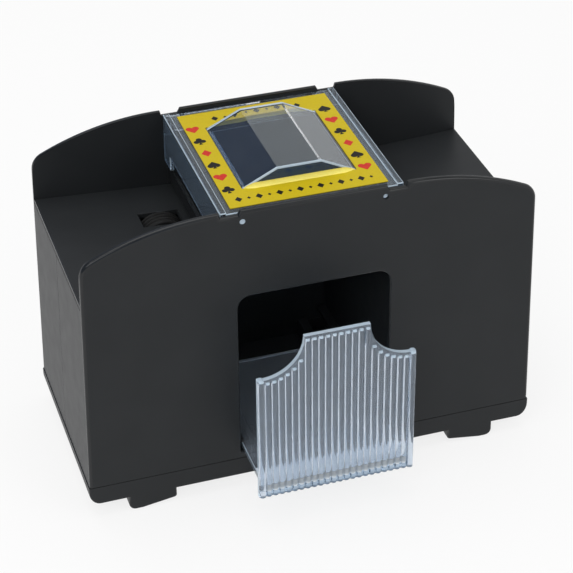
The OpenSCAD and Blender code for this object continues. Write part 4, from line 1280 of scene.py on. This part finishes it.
@dataclass
class Screws:
    """Cross-head screws that hold the shells and the base."""

    head_profile: tuple[Span, ...] = (
        (0, 1.7), (0, 2.2), (-0.25, 2.65), (-0.7, 2.9), (-2.2, 2.9), (-2.2, 1.5))
    shank_r: float = 1.5
    tip_h: float = 1.0
    tip_r: float = 0.3
    steps: int = 24
    waist: Span = (20, 70)
    waist_share: float = 0.42
    notch: Span = (40, 50)
    notch_share: float = 0.36
    socket_depth: float = 1.3
    socket_taper: float = 0.6
    shell_length: float = 22.2
    shell_y: float = 10.2
    base_length: float = 18.7
    base_z: float = 9.8

    def screw(self, length: float) -> BMesh:
        """Make one screw that points down from the origin, its head's top at zero.

        Args:
            length: Length from the head's top to the tip.

        Returns:
            The screw.
        """
        profile = [*self.head_profile, (-length + self.tip_h, self.shank_r),
                   (-length, self.tip_r), (-length, 0)]
        bm = spun(profile, (0, 0, 1), self.steps)
        rim = [e for e in bm.edges if e.is_boundary]
        for vert in {v for e in rim for v in e.verts}:
            turn = math.degrees(math.atan2(vert.co.y, vert.co.x)) % 90
            if self.notch[0] < turn < self.notch[1]:
                vert.co.xy *= self.notch_share
            elif self.waist[0] < turn < self.waist[1]:
                vert.co.xy *= self.waist_share
        made = bmesh.ops.extrude_edge_only(bm, edges=rim)["geom"]
        floor = only(made, BMVert)
        bmesh.ops.scale(bm, verts=floor, vec=(self.socket_taper, self.socket_taper, 1))
        bmesh.ops.translate(bm, verts=floor, vec=(0, 0, -self.socket_depth * MM))
        bmesh.ops.edgeloop_fill(bm, edges=[e for e in only(made, BMEdge) if e.is_boundary])
        bmesh.ops.recalc_face_normals(bm, faces=bm.faces[:])
        return bm

    def build(self) -> None:
        """Set both groups of screws in their wells."""
        for group, length, degrees, places in (
                ("shell", self.shell_length, -90, [(x, self.shell_y, z) for x, z in SHELL_WELLS]),
                ("base", self.base_length, 180, [(x, y, self.base_z) for x, y in BASE_WELLS])):
            made = []
            for place in places:
                bm = self.screw(length)
                bmesh.ops.rotate(bm, verts=bm.verts[:], cent=(0, 0, 0),
                                 matrix=Matrix.Rotation(math.radians(degrees), 3, "X"))
                shift(bm, place)
                made.append(bm)
            make_piece(f"{group}_cross_screws", joined(made), [Finish.STEEL], "housing",
                       Slot.STEEL, [f"{group}_screws"])


@dataclass(frozen=True)
class Viewpoint:
    """The camera, as fitted to the body's edges."""

    azimuth: float = -17.721
    elevation: float = 33.578
    roll: float = -0.525
    distance: float = 885.835
    focal_widths: float = 3.441
    aim: Point = (2.554, 0.0, 69.236)
    sensor: float = 36.0

    def build(self) -> None:
        """Make the scene's camera."""
        data = bpy.data.cameras.new("camera")
        data.sensor_fit = "HORIZONTAL"
        data.sensor_width = self.sensor
        data.lens = self.focal_widths * self.sensor
        place = Matrix.Translation(Vector(self.aim) * MM)
        for degrees, axis in ((self.azimuth, "Z"), (90 - self.elevation, "X"), (self.roll, "Z")):
            place @= Matrix.Rotation(math.radians(degrees), 4, axis)
        camera = bpy.data.objects.new("camera", data)
        camera.matrix_world = place @ Matrix.Translation((0, 0, self.distance * MM))
        bpy.context.scene.collection.objects.link(camera)
        bpy.context.scene.camera = camera


@dataclass(frozen=True)
class Lamp:
    """A soft square lamp aimed at the body."""

    name: str
    place: Point
    size: float
    watts: float
    aim: Point = (0, 0, 0.07)

    def build(self) -> None:
        """Hang the lamp."""
        data = bpy.data.lights.new(self.name, "AREA")
        data.size = self.size
        data.energy = self.watts
        lamp = bpy.data.objects.new(self.name, data)
        lamp.location = self.place
        lamp.rotation_mode = "QUATERNION"
        way = Vector(self.aim) - Vector(self.place)
        lamp.rotation_quaternion = way.to_track_quat("-Z", "Y")
        bpy.context.scene.collection.objects.link(lamp)


@dataclass
class Studio:
    """White floor, pale surroundings and soft lamps."""

    floor_half: float = 3.0
    floor_z: float = -0.0002
    floor_white: float = 0.9
    floor_glow: float = 0.82
    world_fill: float = 0.45
    side_span: Span = (-0.26, 0.42)
    side_gloss: Span = (0.1, 0.86)
    rise_span: Span = (0.58, 0.9)
    rise_gloss: Span = (1.0, 0.3)
    dusk_span: Span = (-0.26, 0.24)
    dusk_shift: Point = (-0.4, 0.02, 0.9)
    lamps: tuple[Lamp, ...] = (
        Lamp("top_lamp", (-0.15, 0.1, 1.4), 1.2, 9.0),
        Lamp("left_lamp", (-1.0, -1.1, 1.25), 0.9, 7.5),
        Lamp("right_lamp", (0.9, -1.2, 1.2), 0.9, 4.6))

    def white(self) -> Material:
        """Make the floor's material, which glows to the eye, to gloss and through glass.

        Returns:
            The material.
        """
        material = bpy.data.materials.new("white_floor")
        material.use_nodes = True
        tree = material.node_tree
        tree.nodes.clear()
        path = add_node(tree, "LightPath").outputs
        seen = combine(tree, "MAXIMUM", path["Is Camera Ray"], path["Is Glossy Ray"])
        seen = combine(tree, "MAXIMUM", seen, path["Is Transmission Ray"])
        share = combine(tree, "MULTIPLY", seen, self.floor_glow)
        colour = (*[self.floor_white] * 3, 1)
        diffuse = add_node(tree, "BsdfDiffuse", {"Color": colour}).outputs[0]
        glow = add_node(tree, "Emission").outputs[0]
        mix = add_node(tree, "MixShader", {0: share, 1: diffuse, 2: glow}).outputs[0]
        add_node(tree, "OutputMaterial", {"Surface": mix})
        return material

    def floor(self) -> None:
        """Lay the floor, white to the eye but with the object's shadow."""
        bm = bmesh.new()
        bmesh.ops.create_grid(bm, x_segments=1, y_segments=1, size=self.floor_half)
        bmesh.ops.translate(bm, verts=bm.verts[:], vec=(0, 0, self.floor_z))
        mesh = bpy.data.meshes.new("floor")
        bm.to_mesh(mesh)
        bm.free()
        mesh.materials.append(self.white())
        floor = bpy.data.objects.new("floor", mesh)
        bpy.context.scene.collection.objects.link(floor)

    def surroundings(self) -> None:
        """Fill the world with soft light, white to the eye.

        Gloss sees it darker overhead, and darker and bluer on the left.
        """
        world = bpy.data.worlds.new("studio")
        world.use_nodes = True
        tree = world.node_tree
        tree.nodes.clear()
        path = add_node(tree, "LightPath").outputs
        gloss = path["Is Glossy Ray"]
        seen = combine(tree, "MAXIMUM", path["Is Camera Ray"], path["Is Transmission Ray"])
        place = add_node(tree, "TexCoord").outputs["Generated"]
        way = add_node(tree, "SeparateXYZ", {0: place}).outputs
        side = ranged(tree, way["X"], self.side_span, self.side_gloss, smooth=True)
        rise = ranged(tree, way["Z"], self.rise_span, self.rise_gloss, smooth=True)
        dusk = ranged(tree, way["X"], self.dusk_span, (1.0, 0.0), smooth=True)
        strength = blend(tree, seen, self.world_fill, 1.0)
        strength = blend(tree, gloss, strength, combine(tree, "MULTIPLY", side, rise))
        shares = {0: combine(tree, "MULTIPLY", dusk, gloss), 1: self.dusk_shift, 2: (1, 1, 1)}
        tone = add_node(tree, "VectorMath", shares, operation="MULTIPLY_ADD").outputs[0]
        light = add_node(tree, "Background", {"Color": tone, "Strength": strength}).outputs[0]
        add_node(tree, "OutputWorld", {"Surface": light})
        bpy.context.scene.world = world

    def build(self) -> None:
        """Build the studio."""
        self.floor()
        self.surroundings()
        for lamp in self.lamps:
            lamp.build()
        bpy.context.scene.view_settings.view_transform = "Standard"


def main() -> None:
    """Build the camera, the pieces and the studio."""
    logging.basicConfig(level=logging.INFO, format="%(name)s: %(message)s")
    for assembly in (Viewpoint(), Housing(), Label(), Lid(), Tray(), Drive(), Power(), Leads(),
                     Screws(), Studio()):
        assembly.build()


if __name__ == "__main__":
    main()
